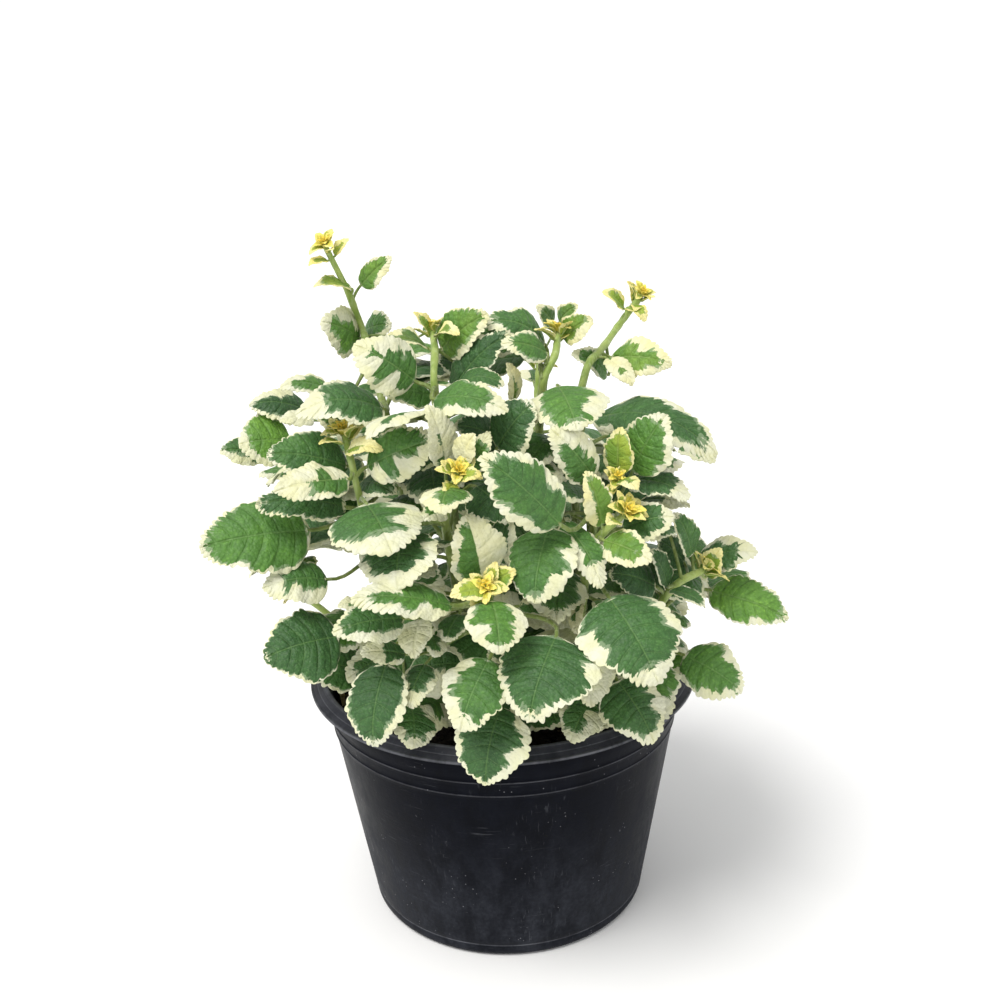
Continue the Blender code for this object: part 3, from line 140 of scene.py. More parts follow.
class Leaf:
    """A leaf blade on its petiole.  base, tip: ends of the blade.  n: the way
    its upper face looks.  width: full width.  arch: rise of the midrib over
    its chord.  fold: how far the edges lift (+) or droop (-)."""

    def __init__(self, name, base, tip, n, width, arch=0.1, fold=-0.1, thick=0.9):
        self.name, self.base, self.tip, self.width = name, base, tip, width
        self.arch, self.fold, self.thick = arch, fold, thick
        self.axis = (tip - base)
        self.length = self.axis.length
        self.axis = self.axis.normalized()
        n = n - self.axis * n.dot(self.axis)
        self.n = n.normalized()
        self.side = self.axis.cross(self.n)
        self.foot = None
        self.look = None
        self.owner = None

    def mid(self, u):
        return (self.base + self.axis * (self.length * u)
                + self.n * (self.arch * self.length * 4 * u * (1 - u)))

    def surf(self, u, v, wide=None):
        w = self.width * 0.5 * (half_width(u) if wide is None else wide)
        return (self.mid(u) + self.side * (v * w)
                + self.n * (self.fold * abs(v) ** 1.6 * w))

    def start_dir(self):
        return -(self.axis + self.n * (4 * self.arch)).normalized()

    def petiole(self, steps=3):
        """Points from the blade's base to the foot, on a curve that leaves
        the blade along its midrib."""
        a = self.base
        f = self.foot
        reach = (f - a).length
        c1 = a + self.start_dir() * (reach * 0.45)
        c2 = f + Vector((0, 0, 1)) * (reach * 0.12) + (a - f) * 0.22
        pts = []
        for i in range(1, steps + 1):
            t = i / steps
            s = 1 - t
            pts.append(a * s ** 3 + c1 * (3 * s * s * t) + c2 * (3 * s * t * t) + f * t ** 3)
        return pts

    def solid(self, grow=0.0, rings=(0.10, 0.34, 0.64, 0.88), bends=2):
        """Closed solid: rings of four points (left edge, top of the midrib,
        right edge, underside of the midrib), a cap at the foot and a point at
        the tip."""
        verts, faces = [], []
        pr = min(0.85, 0.016 * self.length + 0.30) + grow
        pts = self.petiole(bends) if self.foot is not None else []
        line = [self.base] + pts
        back = []
        s = self.side.copy()
        for i, p in enumerate(line):
            if i == 0:
                t = -self.start_dir()
            elif i < len(line) - 1:
                t = (line[i - 1] - line[i + 1]).normalized()
            else:
                t = (line[i - 1] - p).normalized()
            s = (s - t * s.dot(t)).normalized()
            m = s.cross(t)
            r = pr * (1.15 if i == len(line) - 1 and i else 1.0)
            back.append([p - s * r, p + m * r, p + s * r, p - m * r])
        allr = list(reversed(back))
        for u in rings:
            th = self.thick * (0.5 + 0.15 * (1 - u)) + grow
            allr.append([self.surf(u, -1) - self.side * grow, self.mid(u) + self.n * th,
                         self.surf(u, 1) + self.side * grow, self.mid(u) - self.n * th])
        for r in allr:
            verts.extend(r)
        verts.append(self.mid(1.0) + self.axis * grow)
        k = len(allr)
        faces.append((3, 2, 1, 0))
        for i in range(k - 1):
            for j in range(4):
                a, b = 4 * i + j, 4 * i + (j + 1) % 4
                faces.append((a, b, b + 4, a + 4))
        for j in range(4):
            faces.append((4 * (k - 1) + j, 4 * (k - 1) + (j + 1) % 4, 4 * k))
        return verts, faces


def tri(verts, faces):
    """Triangles of a solid, each quad split along the diagonal that starts at
    its lowest corner number, so that the solid is the same wherever it is
    built."""
    out = []
    for f in faces:
        if len(f) == 3:
            out.append(tuple(f))
        else:
            k = f.index(min(f))
            g = f[k:] + f[:k]
            for i in range(1, len(g) - 1):
                out.append((g[0], g[i], g[i + 1]))
    return out


def bvh(verts, faces):
    return BVHTree.FromPolygons([tuple(v) for v in verts], tri(verts, faces))


class Body:
    """Anything that takes up room: its search tree and its box."""

    def __init__(self, name, verts, faces):
        self.name = name
        self.tree = bvh(verts, faces)
        self.lo = Vector([min(v[i] for v in verts) for i in range(3)])
        self.hi = Vector([max(v[i] for v in verts) for i in range(3)])

    def hits(self, other):
        for i in range(3):
            if self.hi[i] < other.lo[i] or other.hi[i] < self.lo[i]:
                return False
        return bool(self.tree.overlap(other.tree))


# ---------------------------------------------------------------------------
# Stems
# ---------------------------------------------------------------------------
def smooth(points, per=4):
    """A curve through the points, with `per` steps between two of them."""
    p = [points[0] * 2 - points[1]] + list(points) + [points[-1] * 2 - points[-2]]
    out = []
    for i in range(1, len(p) - 2):
        for k in range(per):
            t = k / per
            a, b, c, d = p[i - 1], p[i], p[i + 1], p[i + 2]
            out.append(0.5 * ((2 * b) + (c - a) * t + (2 * a - 5 * b + 4 * c - d) * t * t
                              + (3 * b - a - 3 * c + d) * t ** 3))
    out.append(points[-1].copy())
    return out


RUNS = 12               # straight runs of a stem's solid


class Stem:
    def __init__(self, name, points, r0=2.1, r1=1.1):
        self.name = name
        self.r0, self.r1 = r0, r1
        self.measure(smooth(points, 6))
        self.measure([self.point(i / RUNS)[0] for i in range(RUNS + 1)])

    def measure(self, line):
        self.line = line
        self.cum = [0.0]
        for a, b in zip(self.line, self.line[1:]):
            self.cum.append(self.cum[-1] + (b - a).length)
        self.length = self.cum[-1]

    def point(self, t):
        """Point at the share t of the length, and the way the stem runs."""
        s = min(max(t, 0.0), 1.0) * self.length
        for i in range(len(self.cum) - 1):
            if s <= self.cum[i + 1] or i == len(self.cum) - 2:
                k = (s - self.cum[i]) / max(self.cum[i + 1] - self.cum[i], 1e-9)
                d = (self.line[i + 1] - self.line[i])
                return self.line[i] + d * k, d.normalized()

    def radius(self, t):
        return self.r0 + (self.r1 - self.r0) * t ** 0.8

    def frames(self, steps):
        """Centres, directions and two side vectors that don't twist."""
        out = []
        ref = Vector((0.8, 0.6, 0))
        for i in range(steps + 1):
            t = i / steps
            p, d = self.point(t)
            ref = (ref - d * ref.dot(d)).normalized()
            out.append((t, p, d, ref.copy(), d.cross(ref)))
        return out

    def nearest(self, p, lo=0.0, hi=1.0, n=60):
        best = None
        for i in range(n + 1):
            t = lo + (hi - lo) * i / n
            q = self.point(t)[0]
            e = (q - p).length
            if best is None or e < best[0]:
                best = (e, t, q)
        return best

    def solid(self, steps=RUNS, grow=0.0, flat=True):
        verts, faces = [], []
        for t, p, d, a, b in self.frames(steps):
            r = (self.radius(t) + grow) * 1.12
            ring = [p + a * r, p + b * r, p - a * r, p - b * r]
            if t == 0 and flat:
                ring = [Vector((q.x, q.y, p.z)) for q in ring]
            verts.extend(ring)
        k = steps
        faces.append((3, 2, 1, 0))
        for i in range(k):
            for j in range(4):
                a, b = 4 * i + j, 4 * i + (j + 1) % 4
                faces.append((a, b, b + 4, a + 4))
        top = self.line[-1] + self.point(1.0)[1] * (self.r1 * 0.8)
        verts.append(top)
        for j in range(4):
            faces.append((4 * k + j, 4 * k + (j + 1) % 4, 4 * k + 4))
        return verts, faces


def soil_height(x, y):
    r = min(math.hypot(x, y) / 70.0, 1.0)
    return SOIL_Z + SOIL_RISE * (1 - r * r)
# ---------------------------------------------------------------------------
# The leaves that the view shows.  Each row:
#   name, the stem it grows from as one piece ("" = a piece of its own),
#   base x, y, tip x, y, width as seen, depth behind the crown's outline (mm),
#   length over seen length (0 = lies along the crown, minus = tip points away),
#   share of the width that is seen, arch, fold,
#   cream edge on the left, on the right, at the tip (shares), youth (0..1)
# ---------------------------------------------------------------------------
LEAF_ROWS = [
    # tall shoot, top left
    ("s1_right", "s1", 361, 285, 389, 257, 23, 2, 1.12, .90, .05, .06, .10, .40, .10, .30),
    ("s1_left", "s1", 351, 288, 314, 284, 10, -3, 1.10, .45, .12, .20, .30, .30, .20, .60),
    ("s1_low_left", "s1", 360, 338, 324, 321, 46, 5, 1.45, .92, .10, -.10, .35, .60, .20, .15),
    ("s1_low_right", "s1", 364, 331, 389, 324, 32, 12, 1.5, .85, .10, -.10, .15, .20, .10, .10),
    ("leaf_top_left", "", 415, 381, 357, 344, 56, 0, 1.12, .95, .10, -.12, .58, .56, .22, .12),
    # second shoot
    ("s2_left", "s2", 427, 347, 382, 342, 13, -4, 1.10, .40, .14, .25, .35, .35, .20, .35),
    ("s2_right", "s2", 441, 349, 486, 313, 42, 3, 1.15, .92, .10, .05, .06, .35, .08, .30),
    ("s2_front", "s2", 436, 336, 459, 333, 11, -5, 1.3, .50, .20, .25, .5, .4, .3, .60),
    ("s2_up", "s2", 432, 336, 416, 311, 9, 0, 1.1, .45, .02, .30, .3, .3, .2, .75),
    ("s2_behind", "s2", 470, 374, 437, 357, 26, 26, 1.1, .70, .12, -.10, .1, .2, .1, .05),
    # third shoot
    ("s3_right", "s3", 563, 338, 591, 318, 27, 0, 1.15, .90, .10, .15, .12, .60, .12, .40),
    ("s3_back_right", "s3", 559, 322, 576, 305, 19, 6, 1.3, .85, .10, .1, .15, .15, .1, .30),
    ("s3_back_left", "s3", 553, 324, 538, 306, 18, 6, 1.3, .85, .10, .1, .25, .25, .2, .30),
    ("leaf_top_small", "", 547, 353, 503, 342, 28, -2, 1.15, .85, .14, -.10, .40, .22, .15, .18),
    ("leaf_top_arched", "", 545, 344, 485, 319, 32, 9, 1.10, .72, .20, -.14, .38, .08, .10, .05),
    ("leaf_top_grey", "", 452, 391, 508, 332, 35, 14, 1.10, .75, .10, .05, .10, .08, .05, .0),
    ("s3_under", "s3", 455, 392, 503, 381, 22, 10, 1.10, .55, .24, -.1, .08, .08, .05, .05),
    ("leaf_top_front", "", 434, 399, 507, 409, 36, -1, 1.12, .78, .14, -.14, .14, .50, .20, .05),
    ("s3_pale", "s3", 513, 402, 509, 363, 14, 22, 1.15, .6, .1, .1, .9, .9, .3, .45),
    ("leaf_top_middle", "", 558, 386, 577, 427, 73, 0, 1.6, .95, .10, -.16, .42, .34, .10, .12),
    ("s3_shade", "s3", 497, 448, 531, 403, 50, 10, 1.12, .92, .10, -.10, .04, .25, .08, .0),
    ("s3_dark", "s3", 500, 440, 456, 424, 34, 18, 1.15, .85, .12, -.1, .06, .06, .05, .0),
    # fourth shoot, top right
    ("s4_left", "s4", 624, 308, 605, 290, 12, -3, 1.15, .5, .06, .2, .3, .3, .2, .80),
    ("s4_front", "s4", 628, 307, 646, 319, 12, -4, 1.2, .6, .2, .1, .3, .3, .2, .80),
    ("s4_up", "s4", 633, 301, 629, 281, 7, 3, 1.1, .4, .05, .3, .3, .3, .2, .85),
    ("s4_right", "s4", 611, 357, 670, 361, 38, -2, 1.15, .88, .08, -.05, .45, .30, .14, .35),
    ("s4_lobe", "s4", 607, 358, 633, 383, 20, -5, 1.2, .8, .1, -.1, .8, .9, .3, .30),
    ("s4_grey", "s4", 607, 374, 574, 352, 21, 6, 1.15, .7, .1, .2, .2, .15, .1, .0),
    # right of the top
    ("leaf_right_long", "", 594, 418, 717, 451, 42, 11, 1.05, .68, .20, -.14, .22, .30, .10, .0),
    ("leaf_right_up", "", 632, 472, 664, 415, 54, 2, 1.10, .93, .08, -.10, .08, .18, .12, .05),
    ("leaf_right_narrow", "", 629, 480, 689, 494, 27, 8, 1.12, .70, .12, -.10, .06, .12, .25, .05),
    ("s8_white", "s8", 640, 501, 690, 505, 15, 13, 1.1, .55, .1, -.1, .8, .8, .4, .05),
    # seventh shoot
    ("s7_up", "s7", 618, 474, 619, 429, 30, 0, 1.12, .93, .05, .10, .22, .20, .10, .60),
    ("s7_curl", "s7", 621, 480, 637, 488, 15, -3, 1.5, .7, .2, -.1, .4, .4, .3, .55),
    # eighth shoot
    ("s8_left_leaf", "s8", 602, 526, 589, 473, 29, 2, 1.12, .93, .06, .08, .52, .08, .10, .45),
    ("leaf_right_dark", "", 622, 528, 672, 515, 41, 5, 1.10, .90, .10, -.10, .14, .22, .18, .05),
    ("s8_low_leaf", "s8", 604, 540, 651, 560, 37, -1, 1.15, .93, .10, -.06, .18, .32, .22, .35),
    ("leaf_mid_narrow", "", 564, 522, 603, 586, 33, 5, 1.10, .90, .12, -.10, .15, .45, .28, .10),
    ("leaf_mid_cream", "", 594, 478, 553, 429, 43, 2, 1.12, .94, .08, -.08, .28, .75, .25, .10),
    ("leaf_mid_large", "", 560, 524, 484, 456, 64, -5, 1.05, .95, .08, -.12, .20, .20, .10, .0),
    # sixth shoot
    ("s6_small", "s6", 462, 479, 481, 475, 13, -3, 1.2, .7, .2, .1, .3, .3, .2, .80),
    ("s6_cream_up", "s6", 459, 462, 474, 434, 24, 3, 1.15, .9, .06, .06, 1., 1., .3, .35),
    ("s6_green_up", "s6", 472, 470, 488, 433, 24, 6, 1.12, .9, .08, .05, .10, .18, .25, .10),
    ("s6_pale_up", "s6", 446, 470, 430, 406, 30, 8, 1.12, .8, .08, .10, .8, 1., .4, .10),
    ("s6_down", "s6", 449, 486, 441, 509, 47, -3, 1.7, .93, .10, -.16, .12, .60, .15, .25),
    ("s6_dark", "s6", 476, 486, 510, 518, 50, 14, 1.15, .9, .1, -.1, .05, .05, .05, .0),
    # fifth shoot
    ("s5_behind", "s5", 344, 427, 318, 410, 28, 4, 1.15, .92, .08, .05, .22, .22, .15, .30),
    ("s5_small", "s5", 346, 452, 381, 448, 16, -3, 1.15, .7, .16, .1, .85, .55, .4, .60),
    ("leaf_left_right", "", 366, 467, 434, 438, 52, 1, 1.10, .95, .08, -.12, .12, .62, .12, .12),
    ("leaf_left_cream", "", 349, 479, 274, 490, 37, -2, 1.10, .88, .08, -.10, .25, .85, .45, .20),
    ("leaf_left_blue", "", 348, 466, 269, 451, 50, 7, 1.08, .92, .10, -.14, .08, .06, .04, .0),
    ("leaf_left_far", "", 291, 440, 240, 443, 52, 15, 1.12, .92, .10, -.12, .30, .08, .15, .10),
    ("s5_far_tip", "s5", 264, 455, 221, 449, 27, 26, 1.12, .8, .1, -.1, .60, .12, .05, .0),
    ("s5_high", "s5", 309, 411, 250, 402, 31, 22, 1.08, .75, .12, -.10, .12, .42, .05, .0),
    ("s5_far_back", "s5", 331, 391, 281, 384, 19, 26, 1.08, .6, .14, -.1, .12, .45, .2, .0),
    ("leaf_left_arched", "", 384, 409, 297, 409, 42, 3, 1.08, .72, .17, -.14, .14, .16, .28, .0),
    ("s5_white", "s5", 314, 420, 280, 419, 15, 13, 1.1, .6, .1, -.1, 1., 1., .5, .10),
    # left, low
    ("leaf_low_left_big", "", 310, 530, 200, 546, 74, 0, 1.05, .93, .08, -.12, .06, .10, .05, .0),
    ("leaf_low_left_back", "", 346, 507, 256, 503, 36, 10, 1.08, .80, .12, -.12, .06, .06, .05, .0),
    ("leaf_low_left_small", "", 327, 579, 263, 586, 44, 5, 1.08, .85, .12, -.10, .45, .08, .30, .0),
    ("leaf_left_middle", "", 367, 504, 392, 550, 92, -2, 1.55, .95, .08, -.16, .42, .10, .30, .05),
    ("leaf_left_under", "", 404, 532, 396, 586, 78, 5, 1.4, .93, .10, -.14, .28, .12, .22, .0),
    ("leaf_left_striped", "", 452, 605, 352, 597, 37, -3, 1.06, .75, .08, -.10, .48, .62, .15, .05),
    ("leaf_left_bottom", "", 403, 618, 333, 631, 39, 1, 1.12, .88, .10, -.10, .25, .10, .12, .0),
    ("s9_low_a", "s9", 362, 604, 338, 605, 14, 7, 1.1, .7, .1, -.1, .9, .9, .3, .15),
    ("leaf_bottom_far_left", "", 339, 636, 265, 656, 70, 1, 1.10, .95, .10, -.14, .03, .02, .03, .0),
    ("s9_low_b", "s9", 405, 654, 361, 652, 25, 4, 1.1, .85, .1, -.1, .4, .2, .5, .05),
    ("leaf_bottom_left", "", 386, 664, 371, 745, 59, 0, 1.04, .93, .12, -.14, .14, .08, .05, .0),
    ("leaf_rim_left", "", 411, 705, 414, 748, 46, 9, 1.15, .90, .10, -.10, .35, .25, .20, .0),
    ("leaf_bottom_cream", "", 489, 659, 459, 730, 64, 0, 1.06, .94, .10, -.14, .10, .42, .16, .0),
    ("leaf_bottom_front", "", 500, 707, 484, 785, 74, 0, 1.03, .95, .12, -.14, .26, .10, .05, .0),
    ("leaf_bottom_middle", "", 556, 636, 528, 717, 97, -4, 1.15, .96, .10, -.16, .22, .10, .08, .0),
    ("leaf_bottom_right", "", 609, 597, 659, 680, 95, -5, 1.10, .96, .10, -.16, .16, .20, .14, .0),
    ("s10_underside", "s10", 600, 648, 589, 705, 46, 7, 1.1, .9, .08, .10, 1., 1., .5, .12),
    ("leaf_bottom_outer", "", 617, 680, 655, 742, 60, 0, 1.05, .94, .12, -.14, .36, .14, .10, .0),
    ("leaf_right_low", "", 684, 655, 742, 690, 54, 5, 1.10, .93, .10, -.12, .32, .30, .05, .0),
    ("leaf_rim_right", "", 593, 698, 570, 741, 44, 10, 1.12, .90, .10, -.10, .75, .45, .20, .0),
    # ninth shoot, front middle
    ("leaf_middle_half", "", 482, 580, 468, 517, 57, 0, 1.12, .95, .06, .06, .28, 1., .10, .20),
    ("s9_behind", "s9", 500, 564, 506, 516, 32, 6, 1.12, .9, .06, .05, .06, .45, .10, .10),
    ("s9_right", "s9", 487, 588, 514, 570, 26, -2, 1.15, .93, .10, .08, .22, .30, .15, .70),
    ("s9_left", "s9", 486, 589, 451, 595, 23, -3, 1.15, .90, .10, .06, .25, .28, .20, .70),
    ("leaf_middle_down", "", 492, 600, 500, 652, 60, -4, 1.2, .95, .10, -.12, .32, .50, .10, .12),
    ("leaf_middle_round", "", 549, 527, 533, 601, 67, 2, 1.10, .94, .10, -.14, .26, .04, .06, .0),
    # tenth shoot, right
    ("s10_up", "s10", 706, 576, 719, 549, 25, 0, 1.2, .92, .10, .15, .20, .22, .20, .60),
    ("leaf_right_end", "", 710, 590, 788, 616, 45, 3, 1.06, .88, .06, -.08, .04, .14, .05, .10),
    ("leaf_right_back", "", 698, 560, 756, 550, 35, 16, 1.10, .80, .10, -.10, .40, .22, .25, .0),
    ("s10_narrow_up", "s10", 692, 556, 677, 513, 22, 5, 1.12, .75, .08, .08, .28, .06, .10, .0),
    ("s10_narrow_left", "s10", 668, 588, 650, 549, 17, 3, 1.12, .55, .08, .15, .25, .10, .10, .0),
    ("s10_narrow_right", "s10", 670, 590, 706, 605, 14, 2, 1.12, .55, .10, .12, .12, .15, .10, .0),
    ("s10_dark", "s10", 684, 562, 661, 540, 30, 18, 1.15, .85, .1, -.1, .05, .1, .05, .0),
    # seen between the others
    ("s8_dark", "s8", 656, 586, 612, 572, 36, 13, 1.1, .85, .1, -.1, .05, .05, .05, .0),
    ("s9_olive", "s9", 578, 602, 577, 634, 15, 18, 1.2, .7, .1, -.1, .9, .9, .3, .30),
    ("s9_pale", "s9", 420, 619, 413, 657, 32, 8, 1.15, .85, .08, .10, 1., 1., .5, .15),
    ("s9_small", "s9", 431, 634, 436, 656, 25, 12, 1.4, .85, .1, -.1, .4, .3, .2, .05),
    ("s9_low_c", "s9", 425, 664, 409, 706, 32, 8, 1.15, .85, .1, -.1, .3, .4, .3, .05),
    ("s9_low_d", "s9", 459, 614, 446, 640, 28, 16, 1.3, .85, .1, -.1, .2, .2, .1, .05),
]

# The stems with a tip that the view shows: name, then points from the tip
# downward (x, y, depth behind the crown's outline), the place where it leaves
# the soil (x, y in mm), and the size of the tip's tuft of young leaves (mm)
STEM_ROWS = [
    ("s1", [(325, 246, 2), (338, 272, 1), (351, 298, 2), (364, 334, 7), (384, 408, 16)], (-30, 8), 7.5),
    ("s2", [(433, 331, 0), (435, 350, 2), (435, 398, 10)], (-12, 14), 7.0),
    ("s3", [(558, 334, 1), (555, 358, 4), (542, 383, 12)], (14, 18), 8.5),
    ("s4", [(641, 296, 3), (626, 315, 3), (596, 358, 6), (580, 384, 12)], (32, 4), 6.5),
    ("s5", [(344, 434, -1), (350, 455, 2), (361, 503, 16)], (-38, -10), 8.5),
    ("s6", [(458, 474, 1), (452, 490, 6), (445, 520, 18)], (-14, -14), 8.0),
    ("s7", [(617, 478, 2), (612, 490, 10), (600, 510, 24)], (20, -4), 5.5),
    ("s8", [(625, 514, 0), (606, 530, 5), (590, 548, 14)], (30, -20), 8.5),
    ("s9", [(486, 588, 1), (490, 600, 12), (494, 625, 28)], (2, -34), 7.5),
    ("s10", [(705, 570, 2), (686, 578, 5), (668, 592, 16)], (44, -14), 8.0),
]

# Stems toward the back, which the view doesn't show: bearing of the tip
# (degrees from +X), its distance from the axis, its height over the rim, the
# bearing and distance of its foot
BACK_ROWS = [
    ("b1", 35, 84, 92, 40, 36, 7.5),
    ("b2", 72, 66, 116, 70, 34, 7.5),
    ("b3", 112, 70, 112, 108, 36, 7.5),
    ("b4", 148, 86, 88, 145, 40, 7.5),
    ("b5", 62, 94, 52, 62, 46, 6.5),
    ("b6", 120, 98, 50, 122, 48, 6.5),
    ("b7", 14, 88, 30, 12, 48, 6.5),
    ("b8", 167, 90, 28, 170, 48, 6.5),
]
# ---------------------------------------------------------------------------
# Growing the plant
# ---------------------------------------------------------------------------
def row_leaf(row, shift=0.0):
    """The leaf of one row, moved `shift` mm deeper along the line of sight;
    it grows with the distance, so it looks the same from the standpoint."""
    (name, own, bx, by, tx, ty, w, d, tl, ap, arch, fold, ml, mr, mt, yg) = row
    tb = crown_depth(bx, by) + d + 3.0 + shift
    seen = math.hypot(tx - bx, ty - by) * tb / FOCAL
    if tl == 0:
        dt = max(-0.8 * seen, min(0.8 * seen, crown_depth(tx, ty) - crown_depth(bx, by)))
    else:
        dt = -math.copysign(seen * math.sqrt(max(tl * tl - 1, 0.0)), tl)
    base = EYE + ray(bx, by) * tb
    tip = EYE + ray(tx, ty) * (tb + dt)
    axis = (tip - base).normalized()
    n0 = -ray((bx + tx) / 2, (by + ty) / 2).normalized()
    n0 = (n0 - axis * n0.dot(axis)).normalized()
    side = axis.cross(n0)
    phi = math.acos(min(1.0, abs(ap)))
    lean = 1.0 if n0.cross(Vector((0, 0, 1))).dot(axis) > 0 else -1.0
    n = turn(n0, axis, phi * lean * (1 if ap > 0 else -1))
    wide = w * (tb + dt * 0.45) / FOCAL / abs(ap)
    leaf = Leaf(name, base, tip, n, wide, arch, fold)
    leaf.owner = own
    leaf.look = (ml, mr, mt, yg)
    return leaf


def stub(leaf, reach=None):
    """A short petiole toward the middle of the bush, curving down."""
    reach = reach or max(4.0, 0.22 * leaf.length)
    inward = Vector((-leaf.base.x, -leaf.base.y, 0))
    inward = inward.normalized() if inward.length > 1 else Vector((0, 0, -1))
    d = (leaf.start_dir() * 1.0 + inward * 0.35 + Vector((0, 0, -0.45))).normalized()
    leaf.foot = leaf.base + d * reach


def hidden_stem_points(top, foot):
    """From where a stem goes out of sight, in and down to the soil."""
    f = Vector((foot[0], foot[1], soil_height(*foot) + GAP))
    m = f.lerp(top, 0.55)
    m = Vector((m.x * 0.86 + f.x * 0.10, m.y * 0.86 + f.y * 0.10, m.z - 3.0))
    g = Vector((f.x * 0.98 + m.x * 0.02, f.y * 0.98 + m.y * 0.02, f.z + 16.0))
    return [f, g, m]


def make_stems():
    stems = {}
    for name, pts, foot, tuft in STEM_ROWS:
        line = [at(x, y, d) for x, y, d in pts]
        line.reverse()
        s = Stem(name, hidden_stem_points(line[0], foot) + line)
        s.tuft = tuft
        stems[name] = s
    for name, deg, dist, up, fdeg, fdist, tuft in BACK_ROWS:
        a, b = math.radians(deg), math.radians(fdeg)
        tip = Vector((dist * math.cos(a), dist * math.sin(a), POT_H + up))
        foot = (fdist * math.cos(b), fdist * math.sin(b))
        low = Vector((tip.x * 0.86, tip.y * 0.86, POT_H + up * 0.72))
        s = Stem(name, hidden_stem_points(low, foot) + [low, tip])
        s.tuft = tuft
        stems[name] = s
    return stems


def tip_frame(stem):
    """The axis of a stem's last leaves, which turns to the light, and two
    directions square to it."""
    p, d = stem.point(1.0)
    if stem.name.startswith("b"):
        light = Vector((p.x, p.y, 0)).normalized() * 0.6 + Vector((0, 0, 0.6))
    else:
        light = (EYE - p).normalized() * 0.85 + Vector((0, 0, 0.40))
    d = (d + light).normalized()
    a = d.cross(Vector((0, 0, 1)))
    a = a.normalized() if a.length > 0.05 else Vector((1, 0, 0))
    return p, d, a, d.cross(a).normalized()


def tuft_leaves(stem, count=4):
    """The young leaves crowded at a stem's tip, in crossed pairs."""
    rng = random.Random("tuft" + stem.name)
    out = []
    along = stem.point(1.0)[1]
    p, d, a, b = tip_frame(stem)
    turn0 = rng.uniform(0, 1.5)
    for i in range(count):
        pair, half = divmod(i, 2)
        ang = turn0 + pair * math.pi / 2 + half * math.pi + rng.uniform(-.2, .2)
        outw = a * math.cos(ang) + b * math.sin(ang)
        size = 1.12 * stem.tuft * (1.0 - 0.22 * pair)
        lift = 0.42 + 0.55 * pair
        root = stem.point(1.0 - 0.012 * (2 - pair))[0]
        base = root + outw * (0.9 + 0.1 * size) + d * (0.4 + 0.7 * pair)
        tip = base + (outw + d * lift).normalized() * size
        n = d - outw * 0.4
        lf = Leaf("%s_tuft_%d" % (stem.name, i), base, tip, n, size * 0.62, 0.10, 0.22, thick=0.7)
        lf.foot = root - along * 0.3
        lf.owner = stem.name
        lf.look = (.4, .4, .3, .95)
        lf.tuft = True
        out.append(lf)
    return out


def leaf_body(leaf, grow=0.35, **how):
    v, f = leaf.solid(grow=grow, **how)
    return Body(leaf.name, v, f)


def clear(body, bodies, skip=()):
    for o in bodies:
        if o.name in skip:
            continue
        if body.hits(o):
            return False
    return True


def above_soil(leaf):
    v, _ = leaf.solid()
    return all(p.z > soil_height(p.x, p.y) + 1.2 or math.hypot(p.x, p.y) > 74 for p in v)


def exposed(leaf, gaps=()):
    """True where the petiole would cross the open sky, as seen."""
    for q in leaf.petiole(5):
        x, y, z = project(q)
        if not inside(x, y, OUTLINE) or any(inside(x, y, g) for g in gaps):
            return True
    return False


def attach(leaf, stem, t):
    """Puts the petiole's foot on the stem's axis (part of the stem) or just
    off its face (a piece of its own)."""
    p, d = stem.point(t)
    if leaf.owner:
        leaf.foot = p
        return
    to = (leaf.base - p)
    to = (to - d * to.dot(d))
    if to.length < 0.1:
        to = Vector((1, 0, 0))
    leaf.foot = p + to.normalized() * (stem.radius(t) * 1.12 + GAP + 0.5)


